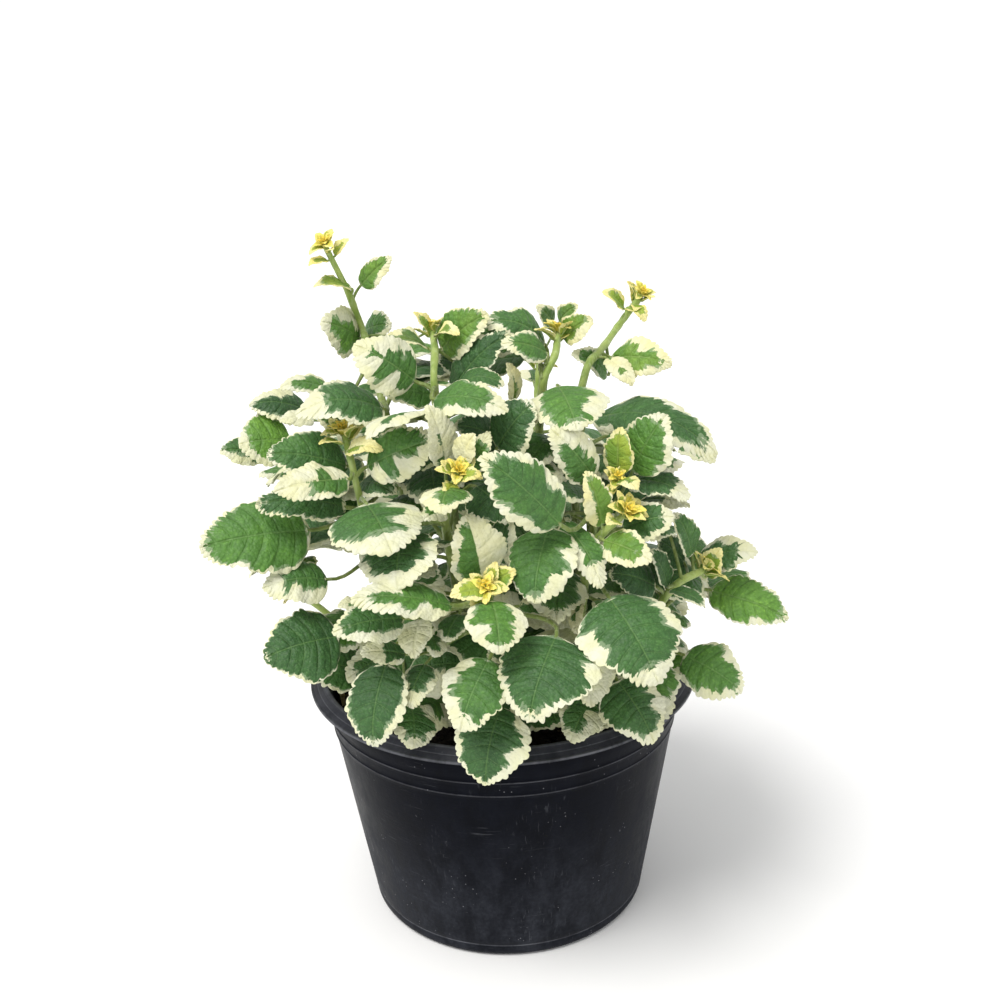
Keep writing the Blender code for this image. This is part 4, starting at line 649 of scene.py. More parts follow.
def grow_plant(pot_bodies):
    stems = make_stems()
    notes = []
    fixed = list(pot_bodies)
    stem_body = {}
    for s in stems.values():
        v, f = s.solid(grow=0.25)
        b = Body(s.name, v, f)
        stem_body[s.name] = b
        fixed.append(b)
    tufts = []
    for s in stems.values():
        for lf in tuft_leaves(s):
            tufts.append(lf)
            b = leaf_body(lf, 0.15)
            b.name = s.name
            fixed.append(b)
    # the leaves in view: the nearest first, each then as far back as it needs
    placed = []
    order = sorted(LEAF_ROWS, key=lambda r: crown_depth(r[2], r[3]) * 0.25
                   + crown_depth((r[2] + r[4]) / 2, (r[3] + r[5]) / 2) * 0.0 + r[7] * 1.0)
    leaves = []
    for row in order:
        own = row[1]
        done = False
        base_leaf = row_leaf(row)
        tries = [0.0]
        for k in range(1, 26):
            tries.append(k * 1.0)
        for k in range(1, 13):
            tries.append(-k * 1.0)
        for sh in tries:
            lf = row_leaf(row, sh)
            options = []
            if own:
                near = []
                for st in stems.values():
                    e, t, q = st.nearest(lf.base, 0.25, 0.97)
                    near.append((e - (14.0 if st.name == own else 0.0), st.name, t))
                near.sort()
                for e, nm, t in near[:3]:
                    for tt in (t - 0.02, t - 0.05, t, t - 0.09, t + 0.03, t - 0.14):
                        if 0.1 < tt < 0.99:
                            options.append((stems[nm], tt))
            else:
                stub(lf)
                options.append(None)
            for o in options:
                if o is not None:
                    lf.owner = o[0].name
                    attach(lf, *o)
                    run = (lf.foot - lf.base).length
                    if run > 42 or (run > 16 and exposed(lf)):
                        continue
                if not above_soil(lf):
                    continue
                b = leaf_body(lf)
                if clear(b, fixed, skip=(lf.owner,)) and clear(b, placed):
                    done = True
                    lf.at = o
                    break
            if done:
                break
        if not done:
            notes.append("dropped " + row[0])
            continue
        lf.row_shift = sh
        leaves.append(lf)
        lf.body = b
        placed.append(b)
    # the petioles of the leaves that are pieces of their own reach to a stem
    for lf in leaves:
        if lf.owner:
            continue
        rest = [b for b in placed if b is not lf.body]
        near = []
        for st in stems.values():
            for k in range(12):
                t = 0.12 + 0.07 * k
                q = st.point(t)[0]
                run = q - lf.base
                if run.length > 38 or run.z > 4:
                    continue
                bend = 1.0 - run.normalized().dot(lf.start_dir())
                near.append((run.length * (1.0 + 0.8 * bend), st.name, t))
        near.sort()
        keep = lf.foot.copy()
        for e, nm, t in near[:14]:
            attach(lf, stems[nm], t)
            if not above_soil(lf) or ((lf.foot - lf.base).length > 16 and exposed(lf)):
                continue
            b = leaf_body(lf, 0.25)
            if clear(b, fixed) and clear(b, rest):
                keep = lf.foot.copy()
                placed[placed.index(lf.body)] = b
                lf.body = b
                lf.held = nm
                break
        lf.foot = keep
        if not hasattr(lf, "held"):
            notes.append("short petiole " + lf.name)
    return stems, tufts, leaves, fixed, placed, notes
# ---------------------------------------------------------------------------
# The leaves that the view hides: inside, at the sides and at the back
# ---------------------------------------------------------------------------
# the bush's outline as seen, and the places where daylight shows through it
OUTLINE = [(203, 570), (200, 530), (250, 498), (272, 480), (225, 470), (221, 445), (244, 415),
           (250, 392), (284, 377), (330, 378), (352, 384), (352, 352), (327, 347), (325, 305),
           (352, 300), (390, 318), (400, 332), (428, 336), (418, 312), (442, 314), (487, 309),
           (530, 305), (576, 303), (592, 320), (588, 348), (574, 352), (574, 384), (596, 384),
           (605, 366), (628, 342), (660, 345), (670, 362), (650, 378), (630, 384), (604, 400),
           (640, 396), (690, 408), (717, 440), (716, 460), (684, 462), (668, 474), (690, 496),
           (672, 508), (694, 528), (740, 536), (758, 560), (745, 572), (772, 580), (788, 612),
           (770, 627), (735, 615), (706, 598), (690, 612), (700, 640), (735, 655), (744, 690),
           (722, 704), (686, 704), (672, 738), (560, 744), (400, 745), (345, 700), (300, 676),
           (268, 668), (266, 650), (300, 616), (330, 606), (268, 602), (255, 580)]
DAYLIGHT = [[(312, 540), (352, 552), (372, 566), (366, 590), (350, 604), (300, 604), (334, 592), (326, 572)],
            [(548, 362), (566, 352), (576, 362), (574, 386), (546, 382)],
            [(612, 384), (670, 378), (700, 400), (640, 394), (600, 402)]]


def inside(x, y, poly):
    c = False
    for i in range(len(poly)):
        (x1, y1), (x2, y2) = poly[i - 1], poly[i]
        if (y1 > y) != (y2 > y) and x < (x2 - x1) * (y - y1) / (y2 - y1) + x1:
            c = not c
    return c


def footprints(leaves):
    """Each leaf in view as a polygon with its mean depth."""
    out = []
    for lf in leaves:
        ring = [lf.surf(u, -1) for u in (.08, .3, .55, .8)] + [lf.mid(1.0)] \
            + [lf.surf(u, 1) for u in (.8, .55, .3, .08)]
        pts = [project(p) for p in ring]
        xs, ys = [p[0] for p in pts], [p[1] for p in pts]
        out.append(([(p[0], p[1]) for p in pts], sum(p[2] for p in pts) / len(pts),
                    (min(xs), min(ys), max(xs), max(ys))))
    return out


def hides(leaf, prints):
    """True where the leaf would stand before one that the view shows, or
    outside the outline of the bush."""
    for u, v in ((.1, 0), (.3, -1), (.3, 0), (.3, 1), (.6, -1), (.6, 0), (.6, 1), (.85, -.9), (.85, .9), (1, 0)):
        x, y, z = project(leaf.surf(u, v) if u < 1 else leaf.mid(1.0))
        if not inside(x, y, OUTLINE):
            return True
        for d in DAYLIGHT:
            if inside(x, y, d):
                return True
        for poly, depth, box in prints:
            if z < depth - 3 and box[0] < x < box[2] and box[1] < y < box[3] and inside(x, y, poly):
                return True
    return False


def in_crown(p, slack=1.0):
    q = Vector([(p[i] - CROWN_C[i]) / (CROWN_R[i] + 22 * slack) for i in range(3)])
    return q.length < 1.0


def fill_leaves(stems, fixed, placed, shown, limit=90):
    prints = footprints(shown)
    out = []
    for name, s in stems.items():
        rng = random.Random("fill" + name)
        front = not name.startswith("b")
        nodes = int(s.length / (21.0 if front else 11.0))
        twist = rng.uniform(0, 3.1)
        for i in range(nodes):
            t = 0.97 - i * (0.80 / nodes) - (0.05 if front else 0.0)
            if t < (0.20 if front else 0.14) or (front and t > 0.80):
                continue
            p, d = s.point(t)
            age = min(1.0, i / 4.0)
            size = 17 + 24 * age
            for half in (0, 1):
                best = None
                for k in range(26):
                    ang = twist + i * math.pi / 2 + half * math.pi + rng.uniform(-.9, .9) * (k / 13.0)
                    outw = Vector((math.cos(ang), math.sin(ang), 0))
                    rad = Vector((p.x, p.y, 0))
                    rad = rad.normalized() if rad.length > 8 else outw
                    if not front and outw.dot(rad) < -0.3 and k < 12:
                        outw = (outw + rad * 0.7).normalized()
                    lift = rng.uniform(0.05, 0.65) - 0.35 * age * rng.random()
                    L = size * rng.uniform(.82, 1.12) * (1.0 if k < 12 else .78)
                    stalk = rng.uniform(.22, .42) * L + 3
                    base = p + (outw + Vector((0, 0, lift + .25))).normalized() * (stalk + s.radius(t))
                    run = (outw + Vector((0, 0, lift * .5 - .28 * age))).normalized()
                    tip = base + run * L
                    n = Vector((0, 0, 1)) + outw * rng.uniform(.1, .7) + rad * 0.35 \
                        + Vector((rng.uniform(-.35, .35), rng.uniform(-.35, .35), 0))
                    lf = Leaf("%s_leaf_%d%s" % (name, i, "ab"[half]), base, tip, n,
                              L * rng.uniform(.66, .82), rng.uniform(.06, .15), -rng.uniform(.04, .2))
                    lf.owner = name
                    lf.foot = p
                    if not in_crown(tip) or not above_soil(lf):
                        continue
                    if math.hypot(tip.x, tip.y) > 66 and tip.z < POT_H + 8:
                        continue
                    if hides(lf, prints) or exposed(lf, DAYLIGHT):
                        continue
                    b = leaf_body(lf, 0.45, rings=(0.12, 0.45, 0.82), bends=1)
                    if clear(b, fixed, skip=(name,)) and clear(b, placed):
                        best = (lf, b)
                        break
                if best:
                    lf, b = best
                    u = rng.random()
                    a, c = rng.uniform(.04, .35), rng.uniform(.04, .35)
                    if u > .72:
                        a = rng.uniform(.5, .95)
                    elif u > .60:
                        c = rng.uniform(.5, .95)
                    lf.look = (a, c, rng.uniform(.05, .3), max(0.0, .32 - .12 * i))
                    placed.append(b)
                    out.append(lf)
    return out


def gaps_between(prints):
    """Places in the bush, as seen, where no leaf stands yet."""
    spots = []
    for y in range(300, 742, 8):
        for x in range(204, 788, 8):
            if not inside(x, y, OUTLINE) or any(inside(x, y, d) for d in DAYLIGHT):
                continue
            if not any(b[0] < x < b[2] and b[1] < y < b[3] and inside(x, y, p) for p, _, b in prints):
                spots.append((x, y))
    return spots


def close_gaps(stems, fixed, placed, shown, hidden):
    """More leaves behind those in view, where one would look right through
    the bush; each grows from the stem nearest to it."""
    rng = random.Random("gaps")
    front = footprints(shown)
    prints = front + footprints(hidden)
    out = []
    for turn_no, (small, large, tries) in enumerate(((24, 36, 22), (16, 25, 22), (11, 17, 16))):
        spots = gaps_between(prints)
        rng.shuffle(spots)
        for x, y in spots:
            if any(b[0] < x < b[2] and b[1] < y < b[3] and inside(x, y, p) for p, _, b in prints):
                continue
            for k in range(tries):
                c = at(x + rng.uniform(-4, 4), y + rng.uniform(-4, 4), rng.uniform(3, 34))
                if not in_crown(c) or c.z < POT_H + 2:
                    continue
                L = rng.uniform(small, large)
                near = []
                for s in stems.values():
                    e, t, q = s.nearest(c - Vector((0, 0, 0.5 * L)), 0.15, 0.95, 16)
                    near.append((e * rng.uniform(.8, 1.25), s.name, t))
                near.sort()
                name, t = near[0][1:]
                s = stems[name]
                q = s.point(t)[0]
                run = c - q
                if run.length > 24 + 0.4 * L or run.length < 0.4 * L:
                    continue
                flat = Vector((run.x, run.y, 0))
                flat = flat.normalized() if flat.length > 2 else Vector((0, -1, 0))
                d = turn(flat, Vector((0, 0, 1)), rng.uniform(-.8, .8)) + Vector((0, 0, rng.uniform(-.35, .35)))
                d.normalize()
                n = Vector((0, 0, 1)) - ray(x, y).normalized() * rng.uniform(.2, 1.3) \
                    + Vector((rng.uniform(-.3, .3), rng.uniform(-.3, .3), 0))
                lf = Leaf("%s_gap_%d_%d" % (name, turn_no, len(out)), c - d * (0.5 * L), c + d * (0.5 * L), n,
                          L * rng.uniform(.68, .86), rng.uniform(.06, .14), -rng.uniform(.04, .18))
                lf.owner = name
                lf.foot = q
                if math.hypot(lf.tip.x, lf.tip.y) > 66 and lf.tip.z < POT_H + 8:
                    continue
                if hides(lf, front) or exposed(lf, DAYLIGHT) or not above_soil(lf):
                    continue
                b = leaf_body(lf, 0.45, rings=(0.12, 0.45, 0.82), bends=1)
                if clear(b, fixed, skip=(name,)) and clear(b, placed):
                    u = rng.random()
                    lf.look = (rng.uniform(.5, .9) if u > .88 else rng.uniform(.03, .30),
                               rng.uniform(.5, .9) if u < .10 else rng.uniform(.03, .30), rng.uniform(.03, .22), 0.0)
                    placed.append(b)
                    out.append(lf)
                    prints += footprints([lf])
                    break
    return out
# ---------------------------------------------------------------------------
# Pot and soil
# ---------------------------------------------------------------------------
def wall_r(z):
    """Outer radius of the pot's wall at the height z, under the rim."""
    return BASE_R + (NECK_R - BASE_R) * z / (POT_H - 7.0)


def pot_profile(fine=False):
    """(radius, height) from the middle of the underside, out and up the
    outside, over the lip, which rolls outward and down, and down the inside
    to the middle of the floor."""
    H = POT_H
    p = [(BASE_R - 4.5, 0.0)]
    steps = 6 if fine else 3
    for i in range(1, steps + 1):
        a = -math.pi / 2 + (math.pi / 2) * i / steps
        r = 3.2
        p.append((wall_r(r) - r + r * math.cos(a), r + r * math.sin(a)))
    for z0 in (H - 18.5, H - 12.4):                       # the two raised lines
        if fine:
            p += [(wall_r(z0 - 1.0), z0 - 1.0), (wall_r(z0) + 0.55, z0 - 0.35),
                  (wall_r(z0) + 0.6, z0), (wall_r(z0) + 0.55, z0 + 0.35), (wall_r(z0 + 1.0), z0 + 1.0)]
        else:
            p += [(wall_r(z0 - 1.0), z0 - 1.0), (wall_r(z0) + 0.6, z0), (wall_r(z0 + 1.0), z0 + 1.0)]
    p += [(NECK_R, H - 7.0), (NECK_R + 0.25, H - 2.6)]
    if fine:                                              # under the rolled lip, and its edge
        p += [(NECK_R + 0.7, H - 1.7), (RIM_R - 1.2, H - 1.35), (RIM_R - 0.35, H - 1.25), (RIM_R - 0.05, H - 0.9),
              (RIM_R, H - 0.45), (RIM_R - 0.15, H - 0.1), (RIM_R - 0.6, H + 0.12)]
        p += [(RIM_R - 1.3, H + 0.38), (RIM_R - 1.55, H + 0.72), (RIM_R - 2.9, H + 1.42), (RIM_R - 3.15, H + 1.82),
              (RIM_R - 4.7, H + 2.72), (RIM_R - 5.3, H + 3.15), (RIM_R - 5.75, H + 3.28), (RIM_R - 6.3, H + 3.1),
              (RIM_R - 6.9, H + 2.3)]
    else:
        p += [(NECK_R + 0.8, H - 1.6), (RIM_R - 0.4, H - 1.25), (RIM_R, H - 0.45), (RIM_R - 0.6, H + 0.2),
              (RIM_R - 4.9, H + 2.9), (RIM_R - 5.8, H + RIM_RISE), (RIM_R - 6.9, H + 2.3)]
    p += [(NECK_R - WALL - 0.3, H - 1.0), (NECK_R - WALL - 0.5, H - 6.4)]
    p += [(wall_r(FLOOR + 3) - WALL, FLOOR + 3.0), (wall_r(FLOOR) - WALL - 2.4, FLOOR + 0.6),
          (wall_r(FLOOR) - WALL - 5.0, FLOOR)]
    return p


def lathe(profile, seg, closed_bottom=0.0, closed_top=0.0):
    """Turned solid from an open profile whose two ends close on the axis."""
    verts, faces = [], []
    for r, z in profile:
        for k in range(seg):
            a = 2 * math.pi * k / seg
            verts.append(Vector((r * math.cos(a), r * math.sin(a), z)))
    n = len(profile)
    for i in range(n - 1):
        for k in range(seg):
            a, b = i * seg + k, i * seg + (k + 1) % seg
            faces.append((a, b, b + seg, a + seg))
    verts.append(Vector((0, 0, profile[0][1] + closed_bottom)))
    verts.append(Vector((0, 0, profile[-1][1] + closed_top)))
    lo, hi = len(verts) - 2, len(verts) - 1
    for k in range(seg):
        faces.append((lo, (k + 1) % seg, k))
        faces.append((hi, (n - 1) * seg + k, (n - 1) * seg + (k + 1) % seg))
    return verts, faces


def soil_profile():
    g = GAP
    zt = SOIL_Z
    p = [(wall_r(FLOOR) - WALL - 5.0 - g, FLOOR + g), (wall_r(FLOOR) - WALL - 2.6 - g, FLOOR + 0.8 + g),
         (wall_r(FLOOR + 3) - WALL - g, FLOOR + 3.2 + g)]
    p.append((wall_r(zt - 1) - WALL - g - 0.35, zt - 1.0))
    for r in (66.0, 48.0, 26.0):
        p.append((r, soil_height(r, 0)))
    return p


def pot_bodies():
    v, f = lathe(pot_profile(), 40)
    return [Body("pot", v, f)]
# ---------------------------------------------------------------------------
# Fine meshes
# ---------------------------------------------------------------------------
def ease(a, b, x):
    t = np.clip((x - a) / (b - a), 0.0, 1.0)
    return t * t * (3 - 2 * t)


class Sheaf:
    """Gathers the corners, faces and per-corner values of one piece."""

    def __init__(self):
        self.co, self.a, self.b, self.c = [], [], [], []
        self.faces, self.mats = [], []
        self.count = 0

    def add(self, co, faces, mat, a=None, b=(0, 0, 0), c=None):
        n = len(co)
        co = np.asarray(co, float).reshape(-1, 3)
        self.co.append(co)
        self.a.append(np.zeros((n, 3)) if a is None else np.asarray(a, float))
        self.b.append(np.tile(np.asarray(b, float), (n, 1)) if np.ndim(b) == 1 else np.asarray(b, float))
        self.c.append(np.zeros((n, 3)) if c is None else np.asarray(c, float))
        k = self.count
        self.faces.extend(tuple(i + k for i in f) for f in faces)
        self.mats.extend([mat] * len(faces))
        self.count += n

    def build(self, name, materials, angle=50.0):
        me = bpy.data.meshes.new(name)
        co = np.concatenate(self.co) * 0.001
        me.from_pydata(co.tolist(), [], self.faces)
        for m in materials:
            me.materials.append(m)
        me.polygons.foreach_set("material_index", np.array(self.mats, np.int32))
        for key, rows in (("leaf_a", self.a), ("leaf_b", self.b), ("leaf_c", self.c)):
            at = me.attributes.new(key, 'FLOAT_VECTOR', 'POINT')
            at.data.foreach_set("vector", np.concatenate(rows).astype(np.float32).ravel())
        me.update()
        me.shade_smooth()
        if angle:
            me.set_sharp_from_angle(angle=math.radians(angle))
        ob = bpy.data.objects.new(name, me)
        bpy.context.scene.collection.objects.link(ob)
        return ob


def tube(points, radii, sides=8, start=None, square=0.0):
    """Closed tube along the points.  square: 0 round, 1 a rounded square."""
    pts = [Vector(p) for p in points]
    co, faces = [], []
    s = start.copy() if start is not None else None
    for i, p in enumerate(pts):
        if i == 0:
            t = (pts[1] - p)
        elif i == len(pts) - 1:
            t = (p - pts[i - 1])
        else:
            t = (pts[i + 1] - pts[i - 1])
        t = t.normalized()
        if s is None:
            s = Vector((0.8, 0.6, 0.1))
        s = s - t * s.dot(t)
        if s.length < 1e-6:
            s = Vector((0, 0, 1)).cross(t)
        s = s.normalized()
        m = t.cross(s)
        for k in range(sides):
            a = 2 * math.pi * k / sides
            ca, sa = math.cos(a), math.sin(a)
            r = radii[i]
            if square:
                q = (abs(ca) ** 4 + abs(sa) ** 4) ** -0.25
                r *= (1 - square) + square * q * 0.93
            co.append(p + s * (r * ca) + m * (r * sa))
    n = len(pts)
    for i in range(n - 1):
        for k in range(sides):
            a, b = i * sides + k, i * sides + (k + 1) % sides
            faces.append((a, b, b + sides, a + sides))
    faces.append(tuple(range(sides - 1, -1, -1)))
    faces.append(tuple((n - 1) * sides + k for k in range(sides)))
    return [tuple(p) for p in co], faces


# how green a leaf is: 0 deep and bluish, 1 bright and yellowish; the lowest tones, of s3_dark, s6_dark, s8_dark and
# s10_dark deep in the bush, are partly painted shade
TONE = {
    "leaf_left_far": .95, "leaf_right_end": .85, "leaf_low_left_big": .62, "leaf_left_arched": .22,
    "leaf_mid_large": .42, "leaf_top_grey": .12, "leaf_right_long": .22, "leaf_bottom_far_left": .12,
    "leaf_bottom_right": .26, "leaf_bottom_middle": .17, "leaf_bottom_left": .11, "leaf_bottom_cream": .48,
    "leaf_bottom_front": .12, "leaf_bottom_outer": .22, "leaf_right_low": .58, "leaf_left_middle": .36,
    "leaf_left_under": .16, "leaf_left_striped": .60, "leaf_middle_down": .66, "leaf_middle_round": .45,
    "leaf_mid_narrow": .50, "leaf_mid_cream": .48, "leaf_top_middle": .62, "leaf_right_up": .70,
    "leaf_left_right": .50, "leaf_left_blue": .34, "leaf_top_front": .55, "leaf_top_left": .45,
    "leaf_low_left_back": .15, "leaf_low_left_small": .35, "leaf_left_bottom": .28, "leaf_middle_half": .60,
    "leaf_right_dark": .30, "leaf_right_back": .25, "s3_dark": .05, "s6_dark": .10, "s8_dark": .05,
    "s10_dark": .10, "s9_right": .80, "s9_left": .85, "s8_low_leaf": .75, "s8_left_leaf": .70, "s7_up": .75,
    "s6_down": .55, "s2_right": .70, "s1_right": .80, "s3_right": .70, "s4_right": .75,
}

VEINS = (0.0, .06, .17, .34, .52, .70, .86, .95, 1.0)
COARSE = (0.0, .12, .34, .60, .84, 1.0)


def outline(lf, s, rng, teeth, first, wide):
    """One side's edge: x along the leaf and y off the midrib for every row,
    with rounded teeth that lean a little toward the tip."""
    L, W = lf.length, lf.width
    R = len(s)
    ue = 0.004 + 0.996 * (s + 0.72 * s * (1 - s))
    ue = np.minimum(ue, 0.9995)
    k1, k2 = rng.random(), rng.random()
    y = W * 0.5 * wide * np.sin(np.pi * ue ** rng.uniform(.73, .83)) ** rng.uniform(.58, .66)
    y = y * (1 + 0.045 * np.sin(2 * np.pi * (1.2 * ue + k1)) + 0.025 * np.sin(2 * np.pi * (3.1 * ue + k2)))
    x = L * ue
    dx, dy = np.gradient(x), np.gradient(y)
    ln = np.hypot(dx, dy) + 1e-9
    nx, ny = -dy / ln, dx / ln
    depth = min(1.55, max(0.22, 0.036 * L)) * ease(0.03, 0.20, ue) * (1 - 0.4 * ease(.94, 1, ue))
    h = np.zeros(R)
    for i in range(R):
        k, j = divmod(i + first, teeth)
        p = j / teeth
        h[i] = math.sin(math.pi * p ** 0.85) ** 0.62 if p > 0 else 0.0
    amp = [rng.uniform(.55, 1.2) for _ in range(R // teeth + 3)]
    notch = [rng.uniform(.0, .35) if rng.random() < .75 else rng.uniform(.4, .8) for _ in range(R // teeth + 3)]
    for i in range(R):
        k, j = divmod(i + first, teeth)
        h[i] = (max(h[i], notch[k] if j < teeth / 2 else notch[k + 1]) * amp[k]) - 0.62
    lean = 0.35 * depth * np.clip(h + .3, 0, 1)
    return x + nx * depth * h + lean, y + ny * depth * h, ue


def blade(sheaf, lf, rng, fine=1.0, curl=0.0):
    """The leaf's blade as a thin closed shell.  Its rows run along the side
    veins, from the midrib out and forward to the edge."""
    L, W = lf.length, lf.width
    young = lf.look[3]
    nv = 8 if L > 40 else 7 if L > 30 else 6 if L > 22 else 5 if L > 14 else 4
    per = (10 if L > 15 else 8) if fine >= 1.0 else 6 if fine > 0.5 else 4
    half = VEINS if fine >= 1.0 and L > 13 else COARSE
    teeth = 5 if per in (5, 10) else 4 if per == 8 else 4
    R = nv * per
    step = np.array([rng.uniform(.74, 1.26) for _ in range(R // teeth + 2)])
    step = np.repeat(step, teeth)[:R + 1]
    s = np.concatenate([[0.0], np.cumsum(step)])[:R + 1]
    s = s[:R] / s[R]
    v = np.array([-x for x in reversed(half[1:])] + list(half))
    cols = len(v)
    lop = rng.uniform(-.06, .06)
    edge = {-1: outline(lf, s, rng, teeth, 0, 1.03 + lop), 1: outline(lf, s, rng, teeth, teeth // 2, 1.03 - lop)}
    X = np.zeros((R, cols))
    Y = np.zeros((R, cols))
    for j, vv in enumerate(v):
        sd = -1 if vv < 0 else 1
        t = abs(vv)
        ex, ey, _ = edge[sd]
        mx = L * s
        cx = mx + 0.22 * (ex - mx)
        X[:, j] = (1 - t) ** 2 * mx + 2 * t * (1 - t) * cx + t * t * ex
        Y[:, j] = sd * (2 * t * (1 - t) * 0.55 * ey + t * t * ey)
    u = X / L
    one = np.ones((R, 1))
    av = np.abs(v)[None, :] * one
    # heights: arch, drooping or lifted edges, waves, quilting between veins
    Z = lf.arch * L * 4 * u * (1 - u)
    Z += lf.fold * np.abs(Y) ** 1.6 / (W * 0.5) ** 0.6
    Z -= L * (0.03 + 0.07 * rng.random()) * np.clip(u - 0.6, 0, None) ** 2 / 0.16
    for sd in (-1, 1):
        side = (np.sign(v) == sd)[None, :] * one
        k1, k2 = rng.uniform(1.2, 2.2), rng.uniform(2.8, 4.4)
        big = rng.uniform(.4, 1.3)
        Z += side * av ** 2 * (0.024 * L * big * np.sin(2 * np.pi * (k1 * u + rng.random()))
                               + 0.011 * L * np.sin(2 * np.pi * (k2 * u + rng.random())))
        Z -= side * rng.uniform(0, .045) * W * av ** 5
    Z += rng.uniform(-.09, .09) * Y * (u - 0.4)
    ph = (s * nv)[:, None] * np.ones((1, cols))
    puff = np.abs(np.sin(np.pi * ph)) ** 0.62
    rough = 1.6 if lf.name == "leaf_bottom_far_left" else 1.0
    quilt = (0.0135 * L + 0.06) * rough * (1.0 if young < .9 else .5)
    Z += 0.72 * quilt * (puff - 0.55) * ease(0.0, .14, av) * (1 - 0.55 * av ** 3) * ease(0, .06, s)[:, None]
    k = [rng.random() for _ in range(4)]
    fork = np.sin(2 * np.pi * (ph * 1.0 + av * 2.3 + k[0])) * np.sin(2 * np.pi * (av * 3.1 - ph * .5 + k[1]))
    Z += 0.42 * quilt * fork * ease(0.05, .25, av) * (1 - .6 * av ** 4)
    Z -= (0.011 * L + 0.08) * np.exp(-(av / 0.09) ** 2) * ease(0, .1, s)[:, None]
    if curl:
        Z += curl * L * (u - .3) ** 2
    base = np.array(lf.base)
    ax, sdv, nn = np.array(lf.axis), np.array(lf.side), np.array(lf.n)
    P = base + X[..., None] * ax + Y[..., None] * sdv + Z[..., None] * nn
    tip = base + ax * (L * 1.004) + nn * float(Z[-1, cols // 2] * 0.5 + Z[-1, 0] * 0.25 + Z[-1, -1] * 0.25)
    th = (0.40 + 0.004 * L) * (1 - 0.5 * av ** 2) * (1.0 if L > 9 else .6)
    Q = P - th[..., None] * nn
    tipq = tip - nn * 0.2
    # how cream each place is
    ml, mr, mt = lf.look[0], lf.look[1], lf.look[2]
    F = np.zeros((R, cols))
    for sd, m in ((-1, ml), (1, mr)):
        jit = np.array([rng.uniform(-1, 1) for _ in range(nv + 3)])
        q = ph + 0.35 * av
        i0 = np.clip(np.floor(q).astype(int), 0, nv + 1)
        fr = ease(.35, .65, q - np.floor(q))
        z = jit[i0] * (1 - fr) + jit[i0 + 1] * fr
        mm = m * (1 + 0.65 * z) + 0.03 * z
        if m >= 0.93:
            mm = mm * 0 + 1.3
        elif m > 0.5:
            mm = np.minimum(mm, 1.02)
        else:
            mm = np.clip(mm, 0.015, None)
        f = av - (1 - mm)
        f = np.where(u < .14, np.minimum(f, f - (0.14 - u) * 2.5 * (m < .9)), f)
        f = f / (0.34 + 0.9 * min(0.7, m))
        side = (np.sign(v) == sd)[None, :] | ((v == 0)[None, :] & (sd == 1))
        F = np.where(side * np.ones((R, 1), bool), f, F)
    if ml > .9 and mr > .9:
        F[:, cols // 2] = 0.4
    elif ml > .9 or mr > .9:
        F[:, cols // 2] = -0.02
    F = np.maximum(F, (u - (1 - mt)) / 0.30)
    F = np.maximum(F, (av - 0.962) * 9.0 * ease(.04, .15, u))
    ftip = 0.4 if mt > .04 else -.1
    seed = rng.random()
    tone = TONE.get(lf.name)
    if tone is None:
        tone = min(1.0, max(0.0, rng.gauss(.40, .18)))
    a = np.stack([F, ph, av], -1).reshape(-1, 3)
    ymid = np.abs(Y)
    c_top = np.stack([np.zeros_like(F), ymid, u], -1).reshape(-1, 3)
    c_bot = np.stack([np.ones_like(F), ymid, u], -1).reshape(-1, 3)
    co = np.concatenate([P.reshape(-1, 3), [tip], Q.reshape(-1, 3), [tipq]])
    A = np.concatenate([a, [[ftip, nv, 0.0]], a, [[ftip, nv, 0.0]]])
    C = np.concatenate([c_top, [[0, 0, 1]], c_bot, [[1, 0, 1]]])
    n1 = R * cols + 1
    faces = []
    for i in range(R - 1):
        for j in range(cols - 1):
            p, q, r, t = i * cols + j, i * cols + j + 1, (i + 1) * cols + j + 1, (i + 1) * cols + j
            faces.append((p, q, r, t))
            faces.append((n1 + t, n1 + r, n1 + q, n1 + p))
        for p, q in ((i * cols, (i + 1) * cols), ((i + 1) * cols + cols - 1, i * cols + cols - 1)):
            faces.append((p, q, n1 + q, n1 + p))
    for j in range(cols - 1):                      # the base edge and the fan at the tip
        faces.append((j + 1, j, n1 + j, n1 + j + 1))
        p = (R - 1) * cols + j
        faces.append((p, p + 1, R * cols))
        faces.append((n1 + p + 1, n1 + p, n1 + R * cols))
    p, q = (R - 1) * cols, R * cols - 1
    faces.append((p, R * cols, n1 + R * cols, n1 + p))
    faces.append((R * cols, q, n1 + q, n1 + R * cols))
    sheaf.add(co, faces, 0, A, (young, tone, seed), C)


def stalk(sheaf, lf, rng, deep=0.0):
    """The petiole, from its foot to the blade and on under the midrib."""
    L = lf.length
    pr = min(0.85, 0.016 * L + 0.30)
    pts, rad = [], []
    for u in (0.62, 0.44, 0.28, 0.14, 0.05):
        k = 1 - u / 0.66
        r = pr * (0.22 + 0.62 * k)
        pts.append(lf.mid(u) - lf.n * (0.16 + 0.75 * r + (0.010 * L + 0.08)))
        rad.append(r)
    line = lf.petiole(7) if lf.foot is not None else []
    pts.append(lf.base + lf.start_dir() * 0.3 - lf.n * 0.15)
    rad.append(pr * .95)
    for i, p in enumerate(line):
        pts.append(p)
        rad.append(pr * (0.95 + 0.22 * (i + 1) / len(line)))
    if deep and len(pts) > 2:
        d = (pts[-1] - pts[-2]).normalized()
        pts.append(pts[-1] + d * deep)
        rad.append(rad[-1])
    pts.reverse()
    rad.reverse()
    co, faces = tube(pts, rad, 7)
    age = lf.look[3]
    sheaf.add(co, faces, 1, None, (0.25 + 0.6 * age, rng.random(), 0.0))


